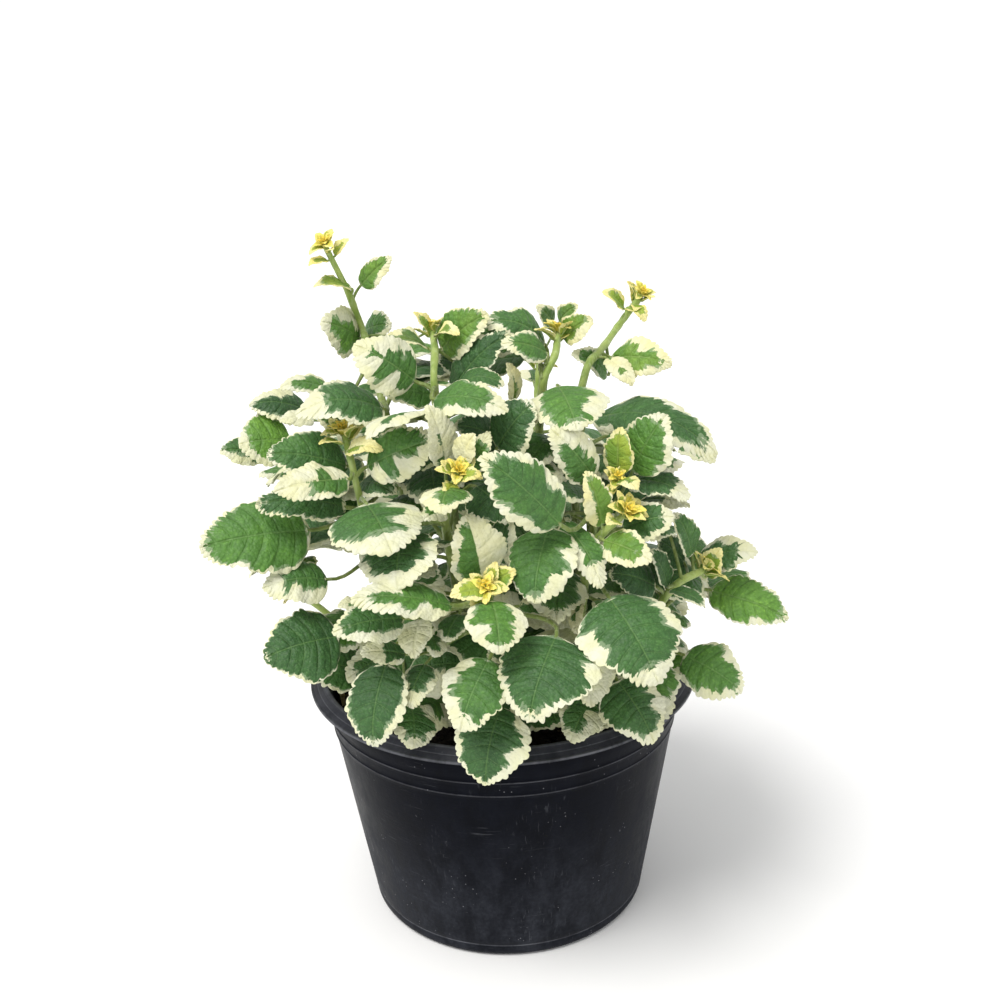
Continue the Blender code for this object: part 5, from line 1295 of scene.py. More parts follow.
def small_leaf(name, base, outw, up, size, wide, look, owner, fold=0.2, arch=.08):
    d = (outw + up).normalized()
    n = Vector((0, 0, 1)) if abs(d.z) < .9 else outw * -1
    n = (up * 1.0 - outw * 0.5)
    lf = Leaf(name, base, base + d * size, n, size * wide, arch, fold, thick=0.5)
    lf.owner = owner
    lf.look = look
    return lf


def bud_leaves(stem):
    """The smallest leaves at a stem's tip: crossed pairs that spread from
    the bud, the innermost still upright and folded."""
    rng = random.Random("bud" + stem.name)
    p, d, a, b = tip_frame(stem)
    out = []
    turn0 = rng.uniform(0, 3)
    for i in range(8 if stem.name.startswith("b") else 12):
        pair, half = divmod(i, 2)
        ang = turn0 + pair * 1.35 + half * math.pi + rng.uniform(-.25, .25)
        outw = a * math.cos(ang) + b * math.sin(ang)
        size = stem.tuft * (0.92, 0.80, 0.66, 0.52, 0.40, 0.30)[pair] * rng.uniform(.85, 1.15)
        up = d * (0.42, 0.62, 0.90, 1.3, 1.9, 3.0)[pair] * rng.uniform(.75, 1.25)
        base = p + d * (0.1 + 0.40 * pair) + outw * (0.9 - .13 * pair)
        lf = small_leaf("%s_bud_%d" % (stem.name, i), base, outw, up, size, rng.uniform(.52, .66),
                        (.35, .35, .25, 0.98 + .11 * pair), stem.name, fold=0.20, arch=0.10)
        out.append(lf)
    return out


# ---------------------------------------------------------------------------
# Materials
# ---------------------------------------------------------------------------
class Nodes:
    """Short words for the node tree of one material."""

    def __init__(self, name):
        self.mat = bpy.data.materials.new(name)
        self.mat.use_nodes = True
        self.t = self.mat.node_tree
        self.bsdf = self.t.nodes["Principled BSDF"]
        self.out = self.t.nodes["Material Output"]

    def new(self, kind, **props):
        n = self.t.nodes.new(kind)
        for k, v in props.items():
            setattr(n, k, v)
        return n

    def put(self, sock, value):
        if isinstance(value, bpy.types.NodeSocket):
            self.t.links.new(value, sock)
        else:
            sock.default_value = value

    def math(self, op, a, b=0.0, c=0.0, clamp=False):
        n = self.new("ShaderNodeMath", operation=op, use_clamp=clamp)
        self.put(n.inputs[0], a)
        self.put(n.inputs[1], b)
        self.put(n.inputs[2], c)
        return n.outputs[0]

    def step(self, x, lo, hi, a=0.0, b=1.0):
        n = self.new("ShaderNodeMapRange", interpolation_type='SMOOTHSTEP')
        self.put(n.inputs["Value"], x)
        self.put(n.inputs["From Min"], lo)
        self.put(n.inputs["From Max"], hi)
        self.put(n.inputs["To Min"], a)
        self.put(n.inputs["To Max"], b)
        return n.outputs[0]

    def mix(self, fac, a, b, kind='MIX'):
        n = self.new("ShaderNodeMix", data_type='RGBA', blend_type=kind)
        self.put(n.inputs["Factor"], fac)
        self.put(n.inputs[6], a if isinstance(a, bpy.types.NodeSocket) else (*a, 1.0))
        self.put(n.inputs[7], b if isinstance(b, bpy.types.NodeSocket) else (*b, 1.0))
        return n.outputs[2]

    def attr(self, name):
        n = self.new("ShaderNodeAttribute", attribute_name=name, attribute_type='GEOMETRY')
        s = self.new("ShaderNodeSeparateXYZ")
        self.t.links.new(n.outputs["Vector"], s.inputs[0])
        return s.outputs[0], s.outputs[1], s.outputs[2]

    def vec(self, x, y, z):
        n = self.new("ShaderNodeCombineXYZ")
        self.put(n.inputs[0], x)
        self.put(n.inputs[1], y)
        self.put(n.inputs[2], z)
        return n.outputs[0]

    def place(self, scale=1.0, stretch=None):
        n = self.new("ShaderNodeTexCoord")
        m = self.new("ShaderNodeMapping")
        self.t.links.new(n.outputs["Object"], m.inputs[0])
        m.inputs["Scale"].default_value = stretch or (scale, scale, scale)
        return m.outputs[0]

    def noise(self, vector, scale=1.0, detail=2.0, rough=0.5, lift=0.0):
        n = self.new("ShaderNodeTexNoise")
        self.put(n.inputs["Vector"], vector)
        self.put(n.inputs["Scale"], scale)
        self.put(n.inputs["Detail"], detail)
        self.put(n.inputs["Roughness"], rough)
        return n.outputs["Fac"]

    def cells(self, vector, scale=1.0, feature='F1'):
        n = self.new("ShaderNodeTexVoronoi", feature=feature)
        self.put(n.inputs["Vector"], vector)
        self.put(n.inputs["Scale"], scale)
        return n.outputs["Distance"]

    def bump(self, height, distance, strength=1.0, under=None):
        n = self.new("ShaderNodeBump")
        n.inputs["Strength"].default_value = strength
        n.inputs["Distance"].default_value = distance
        self.put(n.inputs["Height"], height)
        if under is not None:
            self.put(n.inputs["Normal"], under)
        return n.outputs[0]

    def set(self, **values):
        for k, v in values.items():
            self.put(self.bsdf.inputs[k.replace("_", " ")], v)


def leaf_material():
    g = Nodes("leaf_variegated")
    f, ph, av = g.attr("leaf_a")
    young, tone, seed = g.attr("leaf_b")
    under, ymid, u = g.attr("leaf_c")
    z = g.math('MULTIPLY', seed, 61.0)
    # the jagged line between green and cream runs out along the side veins
    coarse = g.noise(g.vec(g.math('MULTIPLY', ph, 1.6), g.math('MULTIPLY', av, 1.6), z), 1.0, 1.0)
    flame = g.noise(g.vec(g.math('MULTIPLY', ph, 5.0), g.math('MULTIPLY', av, 2.2), z), 1.0, 2.0, 0.6)
    fine = g.noise(g.vec(g.math('MULTIPLY', ph, 15.0), g.math('MULTIPLY', av, 9.0), z), 1.0, 2.0)
    lean = g.math('ADD', g.math('MULTIPLY', g.math('SUBTRACT', coarse, 0.5), 0.55),
                  g.math('MULTIPLY', g.math('SUBTRACT', flame, 0.5), 0.62))
    lean = g.math('ADD', lean, g.math('MULTIPLY', g.math('SUBTRACT', fine, 0.5), 0.16))
    f2 = g.math('ADD', f, lean)
    cream = g.step(f2, -0.020, 0.028)
    patch = g.noise(g.vec(g.math('MULTIPLY', ph, 1.3), g.math('MULTIPLY', av, 2.0), g.math('ADD', z, 9.0)), 1.0, 1.0)
    grey = g.math('MULTIPLY', g.step(g.math('ADD', f2, g.math('MULTIPLY', patch, 0.55)), 0.10, 0.16), g.step(patch, .47, .53))
    # greens
    blotch = g.noise(g.place(110.0), 1.0, 2.0)
    t2 = g.math('ADD', tone, g.math('MULTIPLY', g.math('SUBTRACT', blotch, 0.5), 0.55))
    ramp = g.new("ShaderNodeValToRGB")
    g.put(ramp.inputs[0], t2)
    el = ramp.color_ramp.elements
    el[0].position, el[0].color = 0.0, (0.034, 0.098, 0.030, 1)
    el[1].position, el[1].color = 1.0, (0.165, 0.350, 0.050, 1)
    e = el.new(0.33)
    e.color = (0.058, 0.158, 0.038, 1)
    e = el.new(0.66)
    e.color = (0.098, 0.240, 0.040, 1)
    green = ramp.outputs[0]
    # side veins, and between them a fine net with small pillows; the green is darkened along their grooves as painted
    # shade
    side_vein = g.math('ABSOLUTE', g.math('SUBTRACT', g.math('FRACT', g.math('ADD', ph, 0.5)), 0.5))
    bend = g.noise(g.place(260.0), 1.0, 2.0)
    third = g.math('ADD', g.math('MULTIPLY', ph, 2.0), g.math('MULTIPLY', g.math('SUBTRACT', bend, 0.5), 1.3))
    third = g.math('ADD', third, g.math('MULTIPLY', av, 0.9))
    third = g.math('ABSOLUTE', g.math('SUBTRACT', g.math('FRACT', third), 0.5))
    cross = g.math('ADD', g.math('MULTIPLY', av, 6.5), g.math('MULTIPLY', g.math('SUBTRACT', bend, 0.5), 2.2))
    cross = g.math('ABSOLUTE', g.math('SUBTRACT', g.math('FRACT', cross), 0.5))
    lines = g.math('MINIMUM', g.step(third, 0.0, 0.22), g.math('ADD', 0.45, g.math('MULTIPLY', g.step(cross, 0.0, 0.16), 0.55)))
    groove = g.math('MINIMUM', g.step(side_vein, 0.0, 0.13), g.math('ADD', 0.60, g.math('MULTIPLY', lines, 0.40)))
    groove = g.math('MINIMUM', groove, g.step(ymid, 0.10, 0.75))
    wide = g.math('ADD', 0.040, g.math('MULTIPLY', av, -0.026))
    line = g.math('MULTIPLY', g.step(side_vein, g.math('MULTIPLY', wide, 0.2), wide, 1.0, 0.0), g.step(av, .60, .92, 1.0, 0.0))
    mid = g.step(ymid, 0.12, 0.42, 1.0, 0.0)
    pale = g.mix(young, (0.16, 0.30, 0.085), (0.40, 0.46, 0.12))
    # deep: the green darkened, a shaded copy used for painted shade
    deep = g.mix(1.0, green, (0.50, 0.56, 0.46), 'MULTIPLY')
    # painted shade in the side-vein grooves
    green = g.mix(g.math('MULTIPLY', g.math('SUBTRACT', 1.0, groove), 0.46), green, deep)
    net = g.cells(g.place(760.0), 1.0, 'F1')
    # painted shade along the fine net's lines between the pillows
    green = g.mix(g.step(net, 0.25, 0.60, 0.0, 0.42), green, deep)
    # painted highlights and painted shade: blotches along the vein rows made paler and whiter, others darker
    light = g.noise(g.vec(g.math('MULTIPLY', ph, 3.2), g.math('MULTIPLY', av, 5.0), g.math('ADD', z, 4.0)), 1.0, 3.0, 0.6)
    green = g.mix(g.step(light, .50, .72, 0.0, .52), green, g.mix(1.0, green, (1.75, 1.55, 1.5), 'MULTIPLY'))
    green = g.mix(g.step(light, .48, .30, 0.0, .35), green, deep)
    green = g.mix(g.math('MULTIPLY', line, 0.24), green, pale)
    down = g.noise(g.place(2400.0), 1.0, 2.0)
    green = g.mix(g.step(down, 0.52, 0.74, 0.0, 0.26), green, (0.21, 0.34, 0.13))
    bright = g.mix(g.step(young, 0.15, 0.85), green, g.mix(g.step(blotch, .35, .65), (0.20, 0.34, 0.035), (0.42, 0.50, 0.060)))
    bright = g.mix(g.math('MULTIPLY', mid, g.step(tone, .1, .6, .30, .42)), bright, pale)
    bright = g.mix(g.step(young, 0.90, 1.15), bright, (0.72, 0.64, 0.085))
    greyed = g.mix(0.55, bright, (0.34, 0.43, 0.26))
    base = g.mix(g.math('MULTIPLY', grey, 0.85), bright, greyed)
    # creams: ivory on old leaves, yellow on young ones
    warm = g.noise(g.place(150.0), 1.0, 2.0)
    ivory = g.mix(g.step(warm, .3, .7), (0.700, 0.705, 0.535), (0.685, 0.685, 0.425))
    yellow = g.mix(g.step(warm, .3, .7), (0.84, 0.79, 0.36), (0.82, 0.72, 0.21))
    rim = g.mix(g.step(young, 0.02, 0.95), ivory, yellow)
    # the cream a little darker and greener along the vein grooves: partly vein colour, partly painted shade
    rim = g.mix(g.math('MULTIPLY', g.math('SUBTRACT', 1.0, groove), 0.07), rim, (0.50, 0.52, 0.30))
    rim = g.mix(g.step(down, 0.45, 0.75, 0.0, 0.12), rim, (0.64, 0.63, 0.45))
    gold = g.mix(g.step(young, 0.90, 1.30), rim, (0.98, 0.80, 0.15))
    gold = g.mix(g.step(young, 1.30, 1.50), gold, (0.96, 0.66, 0.060))
    top = g.mix(cream, base, gold)
    # the underside is paler and duller
    share = g.math('MULTIPLY', g.step(young, 0.25, .85, 0.58, 0.06), under)
    share = g.math('MULTIPLY', share, g.math('SUBTRACT', 1.0, g.math('MULTIPLY', cream, 0.72)))
    pale_under = g.mix(share, top, (0.40, 0.43, 0.235))
    shade = g.mix(g.step(young, 0.25, .85), (0.84, 0.86, 0.78), (1.0, 1.0, 0.98))
    dull = g.mix(1.0, pale_under, shade, 'MULTIPLY')
    col = g.mix(under, top, dull)
    g.set(Base_Color=col)
    g.set(Roughness=g.step(down, .3, .7, .42, .58))
    g.bsdf.inputs["Specular IOR Level"].default_value = 0.32
    g.bsdf.inputs["Sheen Weight"].default_value = 0.045
    g.bsdf.inputs["Sheen Roughness"].default_value = 0.45
    g.bsdf.inputs["Sheen Tint"].default_value = (0.92, 1.0, 0.82, 1)
    b1 = g.bump(g.math('MULTIPLY', groove, g.math('SUBTRACT', 1.0, g.math('MULTIPLY', cream, 0.5))), 0.00030, 0.7)
    b2 = g.bump(g.math('SUBTRACT', 1.0, net), 0.00034, 0.85, b1)
    b3 = g.bump(down, 0.00008, 0.6, b2)
    g.set(Normal=b3)
    return g.mat


def stem_material():
    g = Nodes("stem_downy")
    age, seed, _ = g.attr("leaf_b")
    streak = g.noise(g.place(1.0, (900.0, 900.0, 90.0)), 1.0, 2.0)
    blotch = g.noise(g.place(180.0), 1.0, 2.0)
    old = g.mix(g.step(blotch, .3, .7), (0.085, 0.125, 0.028), (0.15, 0.20, 0.045))
    new = g.mix(g.step(blotch, .3, .7), (0.24, 0.35, 0.070), (0.37, 0.46, 0.13))
    col = g.mix(g.step(age, 0.0, 0.9), old, new)
    col = g.mix(g.step(streak, .45, .75, 0.0, .35), col, (0.55, 0.62, 0.36))
    g.set(Base_Color=col, Roughness=0.55)
    g.bsdf.inputs["Specular IOR Level"].default_value = 0.3
    g.bsdf.inputs["Sheen Weight"].default_value = 0.34
    g.bsdf.inputs["Sheen Roughness"].default_value = 0.35
    g.bsdf.inputs["Sheen Tint"].default_value = (1.0, 1.0, 0.90, 1)
    hair = g.noise(g.place(1.0, (3200.0, 3200.0, 1300.0)), 1.0, 2.0)
    g.set(Normal=g.bump(hair, 0.00010, 0.7, g.bump(streak, 0.00015, 0.6)))
    return g.mat


def pot_material():
    g = Nodes("pot_black_plastic")
    tc = g.new("ShaderNodeTexCoord")
    sep = g.new("ShaderNodeSeparateXYZ")
    g.t.links.new(tc.outputs["Object"], sep.inputs[0])
    x, y, zz = sep.outputs
    big = g.noise(g.place(24.0), 1.0, 3.0, 0.6)
    mid = g.noise(g.place(1.0, (130.0, 130.0, 65.0)), 1.0, 4.0, 0.65)
    fine = g.noise(g.place(650.0), 1.0, 3.0, 0.6)
    low = g.step(zz, 0.072, 0.006)                       # paler toward the foot
    band = g.step(zz, 0.0790, 0.0825)                    # and between the lines and the lip
    # pale patches of dust, a pale gradient toward the foot, and a little more above the lines
    dust_and_pale_foot = g.math('ADD', g.math('MULTIPLY', g.step(big, .42, .74), 0.24), g.math('MULTIPLY', low, 1.15))
    dust_and_pale_foot = g.math('ADD', dust_and_pale_foot, g.math('MULTIPLY', band, 0.06))
    dust_and_pale_foot = g.math('MULTIPLY', dust_and_pale_foot, g.step(mid, .30, .72, .25, 1.0))
    dust_and_pale_foot = g.math('MULTIPLY', dust_and_pale_foot, g.step(fine, .30, .70, .6, 1.0))
    black = g.mix(g.step(mid, .3, .7), (0.0006, 0.0012, 0.0036), (0.0013, 0.0022, 0.0060))
    col = g.mix(dust_and_pale_foot, black, (0.026, 0.0285, 0.036))
    # scuffs run round the wall, short scratches run down it
    scuff = g.noise(g.place(1.0, (70.0, 70.0, 1500.0)), 1.0, 3.0, 0.7)
    where = g.noise(g.place(60.0), 1.0, 2.0)
    marks = g.math('MULTIPLY', g.step(scuff, .60, .72), g.step(where, .50, .66))
    col = g.mix(g.math('MULTIPLY', marks, 0.35), col, (0.085, 0.088, 0.10))
    down = g.noise(g.place(1.0, (1100.0, 1100.0, 45.0)), 1.0, 2.0, 0.6)
    streak = g.math('MULTIPLY', g.step(down, .60, .72), g.step(g.noise(g.place(45.0), 1.0, 2.0), .50, .62))
    col = g.mix(g.math('MULTIPLY', streak, 0.30), col, (0.075, 0.078, 0.09))
    speck = g.cells(g.place(430.0), 1.0, 'F1')
    fleck = g.math('MULTIPLY', g.step(speck, 0.13, 0.06), g.step(g.noise(g.place(80.0), 1.0, 2.0), .53, .62))
    col = g.mix(g.math('MULTIPLY', fleck, 0.65), col, (0.26, 0.26, 0.28))
    # the rim is greyer, a painted sheen, and pale along its two edges and the two lines: painted highlights, partly
    # wear
    rim = g.step(zz, 0.0994, 0.1004)
    col = g.mix(g.math('MULTIPLY', rim, g.step(mid, .25, .75, .45, .9)), col, (0.050, 0.052, 0.062))

    def wear_and_highlight(z0, half, share):
        d = g.math('ABSOLUTE', g.math('SUBTRACT', zz, z0))
        return g.math('MULTIPLY', g.math('MULTIPLY', g.step(d, half, half * 0.35), share), g.step(mid, .30, .65, .35, 1.0))
    # pale lines at the lip's edges, the raised lines and the foot: painted highlights, partly wear
    for z0, half, share in ((0.0996, 0.0007, .75), (0.1032, 0.0004, .50), (0.1013, 0.0002, .35),
                            (0.0815, 0.0004, .30), (0.0876, 0.0004, .38), (0.0057, 0.0004, .5)):
        col = g.mix(wear_and_highlight(z0, half, share), col, (0.17, 0.175, 0.195))
    g.set(Base_Color=col)
    rough = g.math('ADD', 0.33, g.math('MULTIPLY', dust_and_pale_foot, 0.22))
    rough = g.math('ADD', rough, g.math('MULTIPLY', g.step(mid, .3, .7), 0.10))
    g.set(Roughness=rough)
    g.bsdf.inputs["Specular IOR Level"].default_value = 0.055
    pit = g.noise(g.place(900.0), 1.0, 2.0)
    g.set(Normal=g.bump(scuff, 0.00006, 0.6, g.bump(mid, 0.00030, 0.35, g.bump(pit, 0.00005, 0.5))))
    return g.mat


def soil_material(name="soil_damp", bits=False):
    g = Nodes(name)
    tint, seed, _ = g.attr("leaf_b")
    n = g.noise(g.place(700.0), 1.0, 4.0, 0.7)
    m = g.noise(g.place(150.0), 1.0, 3.0)
    # near-black soil: partly its own colour, partly painted shade under the leaves
    dark = g.mix(g.step(n, .35, .68), (0.0035, 0.0027, 0.0021), (0.015, 0.0105, 0.0075))
    dark = g.mix(g.step(m, .50, .75, 0.0, .6), dark, (0.024, 0.017, 0.012))
    if bits:
        tan = g.mix(g.step(n, .3, .7), (0.15, 0.10, 0.058), (0.36, 0.27, 0.17))
        dark = g.mix(g.step(tint, 0.0, 1.0), dark, tan)
    g.set(Base_Color=dark, Roughness=0.92)
    g.bsdf.inputs["Specular IOR Level"].default_value = 0.22
    g.set(Normal=g.bump(n, 0.0006, 0.9))
    return g.mat


def floor_material():
    g = Nodes("floor_pale")
    n = g.noise(g.place(3.0), 1.0, 2.0)
    g.set(Base_Color=g.mix(g.step(n, .3, .7), (0.90, 0.90, 0.90), (0.92, 0.92, 0.915)), Roughness=0.9)
    g.bsdf.inputs["Specular IOR Level"].default_value = 0.1
    return g.mat


# ---------------------------------------------------------------------------
# Building the pieces
# ---------------------------------------------------------------------------
def hash01(*n):
    x = math.sin(sum(v * k for v, k in zip(n, (12.9898, 78.233, 37.719)))) * 43758.5453
    return x - math.floor(x)


def lumps(x, y, size, salt):
    """Height of loose crumbs of that size: rounded cells of uneven height."""
    gx, gy = x / size, y / size
    ix, iy = math.floor(gx), math.floor(gy)
    best = 0.0
    for i in (-1, 0, 1):
        for j in (-1, 0, 1):
            cx = ix + i + hash01(ix + i, iy + j, salt)
            cy = iy + j + hash01(ix + i, iy + j, salt + 5.1)
            r = 0.45 + 0.5 * hash01(ix + i, iy + j, salt + 9.7)
            d = math.hypot(gx - cx, gy - cy) / r
            if d < 1:
                best = max(best, (1 - d * d) * (0.4 + 0.6 * hash01(ix + i, iy + j, salt + 3.3)))
    return best


def soil_top(x, y):
    r = math.hypot(x, y)
    h = soil_height(x, y) - 0.4
    h += 1.3 * lumps(x, y, 4.6, 1.0) + 0.9 * lumps(x, y, 2.3, 2.0)
    h += 1.1 * math.sin(x * 0.11 + 1.3) * math.sin(y * 0.13 + .4)
    return h


def make_soil(mat):
    prof = soil_profile()
    rmax = prof[3][0]
    rings, seg = 62, 200
    co, faces = [], []
    for i in range(rings):
        r = rmax * ((i + 0.6) / (rings - 0.4)) ** 0.80
        for k in range(seg):
            a = 2 * math.pi * (k + 0.5 * (i % 2)) / seg
            x, y = r * math.cos(a), r * math.sin(a)
            co.append((x, y, soil_top(x, y)))
    for i in range(rings - 1):
        for k in range(seg):
            a, b = i * seg + k, i * seg + (k + 1) % seg
            faces.append((a, a + seg, b + seg, b))
    co.append((0, 0, soil_top(0, 0)))
    top = len(co) - 1
    for k in range(seg):
        faces.append((top, k, (k + 1) % seg))
    last = (rings - 1) * seg
    low = []
    for r, z in (prof[2], prof[1], prof[0]):
        k0 = len(co)
        low.append(k0)
        for k in range(seg):
            a = 2 * math.pi * (k + 0.5 * ((rings - 1) % 2)) / seg
            co.append((r * math.cos(a), r * math.sin(a), z))
    prev = last
    for k0 in low:
        for k in range(seg):
            a, b = k, (k + 1) % seg
            faces.append((prev + a, k0 + a, k0 + b, prev + b))
        prev = k0
    co.append((0, 0, prof[0][1]))
    for k in range(seg):
        faces.append((len(co) - 1, prev + (k + 1) % seg, prev + k))
    sh = Sheaf()
    sh.add(co, faces, 0)
    return sh.build("soil_surface", [mat], angle=None)


def make_bits(mat, stems):
    """Chips of bark and crumbs that lie on the soil."""
    rng = random.Random("bits")
    sh = Sheaf()
    for n in range(430):
        a, r = rng.uniform(0, 2 * math.pi), 69.0 * math.sqrt(rng.random())
        x, y = r * math.cos(a), r * math.sin(a)
        if any((Vector((x, y, 0)) - Vector((s.line[0].x, s.line[0].y, 0))).length < 4 for s in stems.values()):
            continue
        L = rng.uniform(1.2, 4.4) * (1.5 if rng.random() < .10 else 1)
        w, t = L * rng.uniform(.25, .7), L * rng.uniform(.12, .35)
        m = Matrix.Rotation(rng.uniform(0, 6.3), 3, 'Z') @ Matrix.Rotation(rng.uniform(-.6, .6), 3, 'X') \
            @ Matrix.Rotation(rng.uniform(-.5, .5), 3, 'Y')
        c = Vector((x, y, soil_top(x, y) + t * 0.6))
        if r + L > 70.5:
            continue
        co = []
        for sx in (-1, 0, 1):
            for sy, sz in ((-1, -1), (1, -1), (1.1, 1), (-.9, 1)):
                k = 1.0 if sx == 0 else rng.uniform(.45, .8)
                p = Vector((sx * L / 2 * rng.uniform(.85, 1.1), sy * w / 2 * k * rng.uniform(.8, 1.15),
                            sz * t / 2 * k * rng.uniform(.7, 1.2)))
                co.append(tuple(c + m @ p))
        faces = [(3, 2, 1, 0), (8, 9, 10, 11)]
        for i in (0, 4):
            for j in range(4):
                p, q = i + j, i + (j + 1) % 4
                faces.append((p, q, q + 4, p + 4))
        tint = 0.0 if rng.random() < .80 else rng.uniform(.15, .80)
        sh.add(co, faces, 0, None, (tint, rng.random(), 0))
    # a dry, curled scrap of leaf near the edge
    n, co, faces = 9, [], []
    for i in range(n):
        t = i / (n - 1)
        x, y = -68.9 + 1.9 * t, 1.6 - 8.4 * t
        z = soil_top(x, y) + 0.5 + 3.0 * math.sin(math.pi * t ** 0.8)
        w = 0.5 + 1.5 * math.sin(math.pi * (0.12 + 0.80 * t)) * (1 + 0.25 * math.sin(9 * t))
        for sx, sz in ((-1, 0.0), (1, 0.55), (1, 0.90), (-1, 0.35)):
            co.append((x + sx * w * 0.55, y + sx * 0.35 * w, z + sz + 0.25 * sx * math.sin(5 * t)))
    faces.append((3, 2, 1, 0))
    for i in range(n - 1):
        for j in range(4):
            p, q = 4 * i + j, 4 * i + (j + 1) % 4
            faces.append((p, q, q + 4, p + 4))
    faces.append(tuple(4 * (n - 1) + j for j in range(4)))
    sh.add(co, faces, 0, None, (1.0, 0.5, 0))
    return sh.build("soil_chips", [mat], angle=35.0)


def shell_profile():
    """The pot's outline with the fine steps of its rim and wall."""
    H = POT_H
    p = [(BASE_R - 4.5, 0.0)]
    for i in range(1, 9):
        a = -math.pi / 2 + (math.pi / 2) * i / 8
        p.append((wall_r(3.2) - 3.2 + 3.2 * math.cos(a), 3.2 + 3.2 * math.sin(a)))
    z = 5.4
    p += [(wall_r(z) + .02, z), (wall_r(z + .35) - 0.16, z + .35), (wall_r(z + .7) + .0, z + .7)]
    for z in (8, 16, 26, 36, 46, 56, 66, 74):
        p.append((wall_r(z), z))
    for z0, h in ((H - 18.5, .42), (H - 12.4, .50)):
        p += [(wall_r(z0 - 2.2), z0 - 2.2), (wall_r(z0 - .62), z0 - .62), (wall_r(z0 - .5) + .04, z0 - .5),
              (wall_r(z0) + h * .8, z0 - .24), (wall_r(z0) + h, z0), (wall_r(z0) + h * .8, z0 + .24),
              (wall_r(z0 + .5) + .04, z0 + .5), (wall_r(z0 + .62), z0 + .62), (wall_r(z0 + 2.2), z0 + 2.2)]
    p += [(NECK_R - .1, H - 8.0), (NECK_R, H - 7.0), (NECK_R + 0.2, H - 3.2), (NECK_R + 0.25, H - 2.3),
          (NECK_R + 0.6, H - 1.75), (NECK_R + 1.2, H - 1.5), (RIM_R - 1.2, H - 1.42), (RIM_R - 0.5, H - 1.32),
          (RIM_R - 0.12, H - 1.0), (RIM_R, H - 0.5), (RIM_R - 0.12, H - 0.12), (RIM_R - 0.5, H + 0.10),
          (RIM_R - 0.95, H + 0.16), (RIM_R - 1.15, H + 0.30), (RIM_R - 1.3, H + 0.52), (RIM_R - 2.6, H + 1.22),
          (RIM_R - 2.75, H + 1.36), (RIM_R - 2.85, H + 1.62), (RIM_R - 4.3, H + 2.45), (RIM_R - 4.42, H + 2.62),
          (RIM_R - 4.55, H + 2.86), (RIM_R - 5.2, H + 3.18), (RIM_R - 5.75, H + 3.28), (RIM_R - 6.3, H + 3.1),
          (RIM_R - 6.65, H + 2.7), (RIM_R - 6.9, H + 1.9)]
    p += [(NECK_R - WALL - 0.3, H - 1.0), (NECK_R - WALL - 0.4, H - 3.6), (NECK_R - WALL - 0.5, H - 6.4)]
    for z in (86, 70, 50, 30, 12):
        p.append((wall_r(z) - WALL, z))
    p += [(wall_r(FLOOR + 3) - WALL, FLOOR + 3.0), (wall_r(FLOOR) - WALL - 0.9, FLOOR + 1.4),
          (wall_r(FLOOR) - WALL - 2.4, FLOOR + 0.6), (wall_r(FLOOR) - WALL - 5.0, FLOOR)]
    return p


def make_pot(mat):
    v, f = lathe(shell_profile(), 160)
    me = bpy.data.meshes.new("pot_shell")
    me.from_pydata([tuple(p * 0.001) for p in v], [], f)
    me.update()
    ob = bpy.data.objects.new("pot_shell", me)
    bpy.context.scene.collection.objects.link(ob)
    cut = bmesh.new()
    for i in range(HOLES):
        a = 2 * math.pi * (i + 0.5) / HOLES + 0.043
        at_hole = Matrix.Translation(Vector((HOLE_RING * math.cos(a), HOLE_RING * math.sin(a), 0)) * 0.001)
        bmesh.ops.create_cone(cut, cap_ends=True, segments=28, radius1=HOLE_R * 0.001, radius2=HOLE_R * 0.001,
                              depth=0.014, matrix=at_hole)
    cm = bpy.data.meshes.new("holes")
    cut.to_mesh(cm)
    cut.free()
    cutter = bpy.data.objects.new("holes", cm)
    bpy.context.scene.collection.objects.link(cutter)
    mod = ob.modifiers.new("holes", 'BOOLEAN')
    mod.operation = 'DIFFERENCE'
    mod.solver = 'EXACT'
    mod.object = cutter
    bpy.context.view_layer.update()
    dg = bpy.context.evaluated_depsgraph_get()
    done = bpy.data.meshes.new_from_object(ob.evaluated_get(dg))
    ob.modifiers.clear()
    ob.data = done
    bpy.data.objects.remove(cutter, do_unlink=True)
    ob.data.materials.clear()
    ob.data.materials.append(mat)
    ob.data.shade_smooth()
    ob.data.set_sharp_from_angle(angle=math.radians(42))
    return ob


def reach_stem(lf, stems):
    """Where a short petiole joins: the nearest stem below the blade."""
    best = None
    for st in stems.values():
        for k in range(60):
            q, d = st.point(0.08 + 0.9 * k / 59)
            run = q - lf.base
            if run.length > 60 or run.z > 2:
                continue
            cost = run.length * (1.0 + 0.8 * (1.0 - run.normalized().dot(lf.start_dir())))
            if best is None or cost < best[0]:
                best = (cost, q)
    if best:
        lf.foot = best[1]


def stem_mesh(sheaf, s, joints):
    """The stem, square with rounded corners, thicker where leaves join it."""
    steps = max(26, int(s.length / 2.6))
    pts, rad, ages = [], [], []
    for i in range(steps + 1):
        t = i / steps
        p, d = s.point(t)
        r = s.radius(t) * 1.02
        swell = sum(math.exp(-((t * s.length - j) / 1.9) ** 2) for j in joints)
        r *= 1 + 0.22 * min(1.0, swell)
        pts.append(p)
        rad.append(r)
        ages.append(t)
    # smooth out the straight runs
    for _ in range(2):
        pts = [pts[0]] + [pts[i - 1] * .25 + pts[i] * .5 + pts[i + 1] * .25 for i in range(1, len(pts) - 1)] + [pts[-1]]
    pts[0] = pts[0] - Vector((0, 0, 3.0))
    pts.append(pts[-1] + s.point(1.0)[1] * (s.r1 * 0.8))
    rad.append(s.r1 * 0.35)
    ages.append(1.0)
    sides = 16
    co, faces = tube(pts, rad, sides, square=0.75)
    b = []
    for t in ages:
        b += [(0.05 + 0.95 * max(0.0, (t - 0.25) / 0.75) ** 1.5, 0.3, 0.0)] * sides
    sheaf.add(co, faces, 1, None, np.array(b))


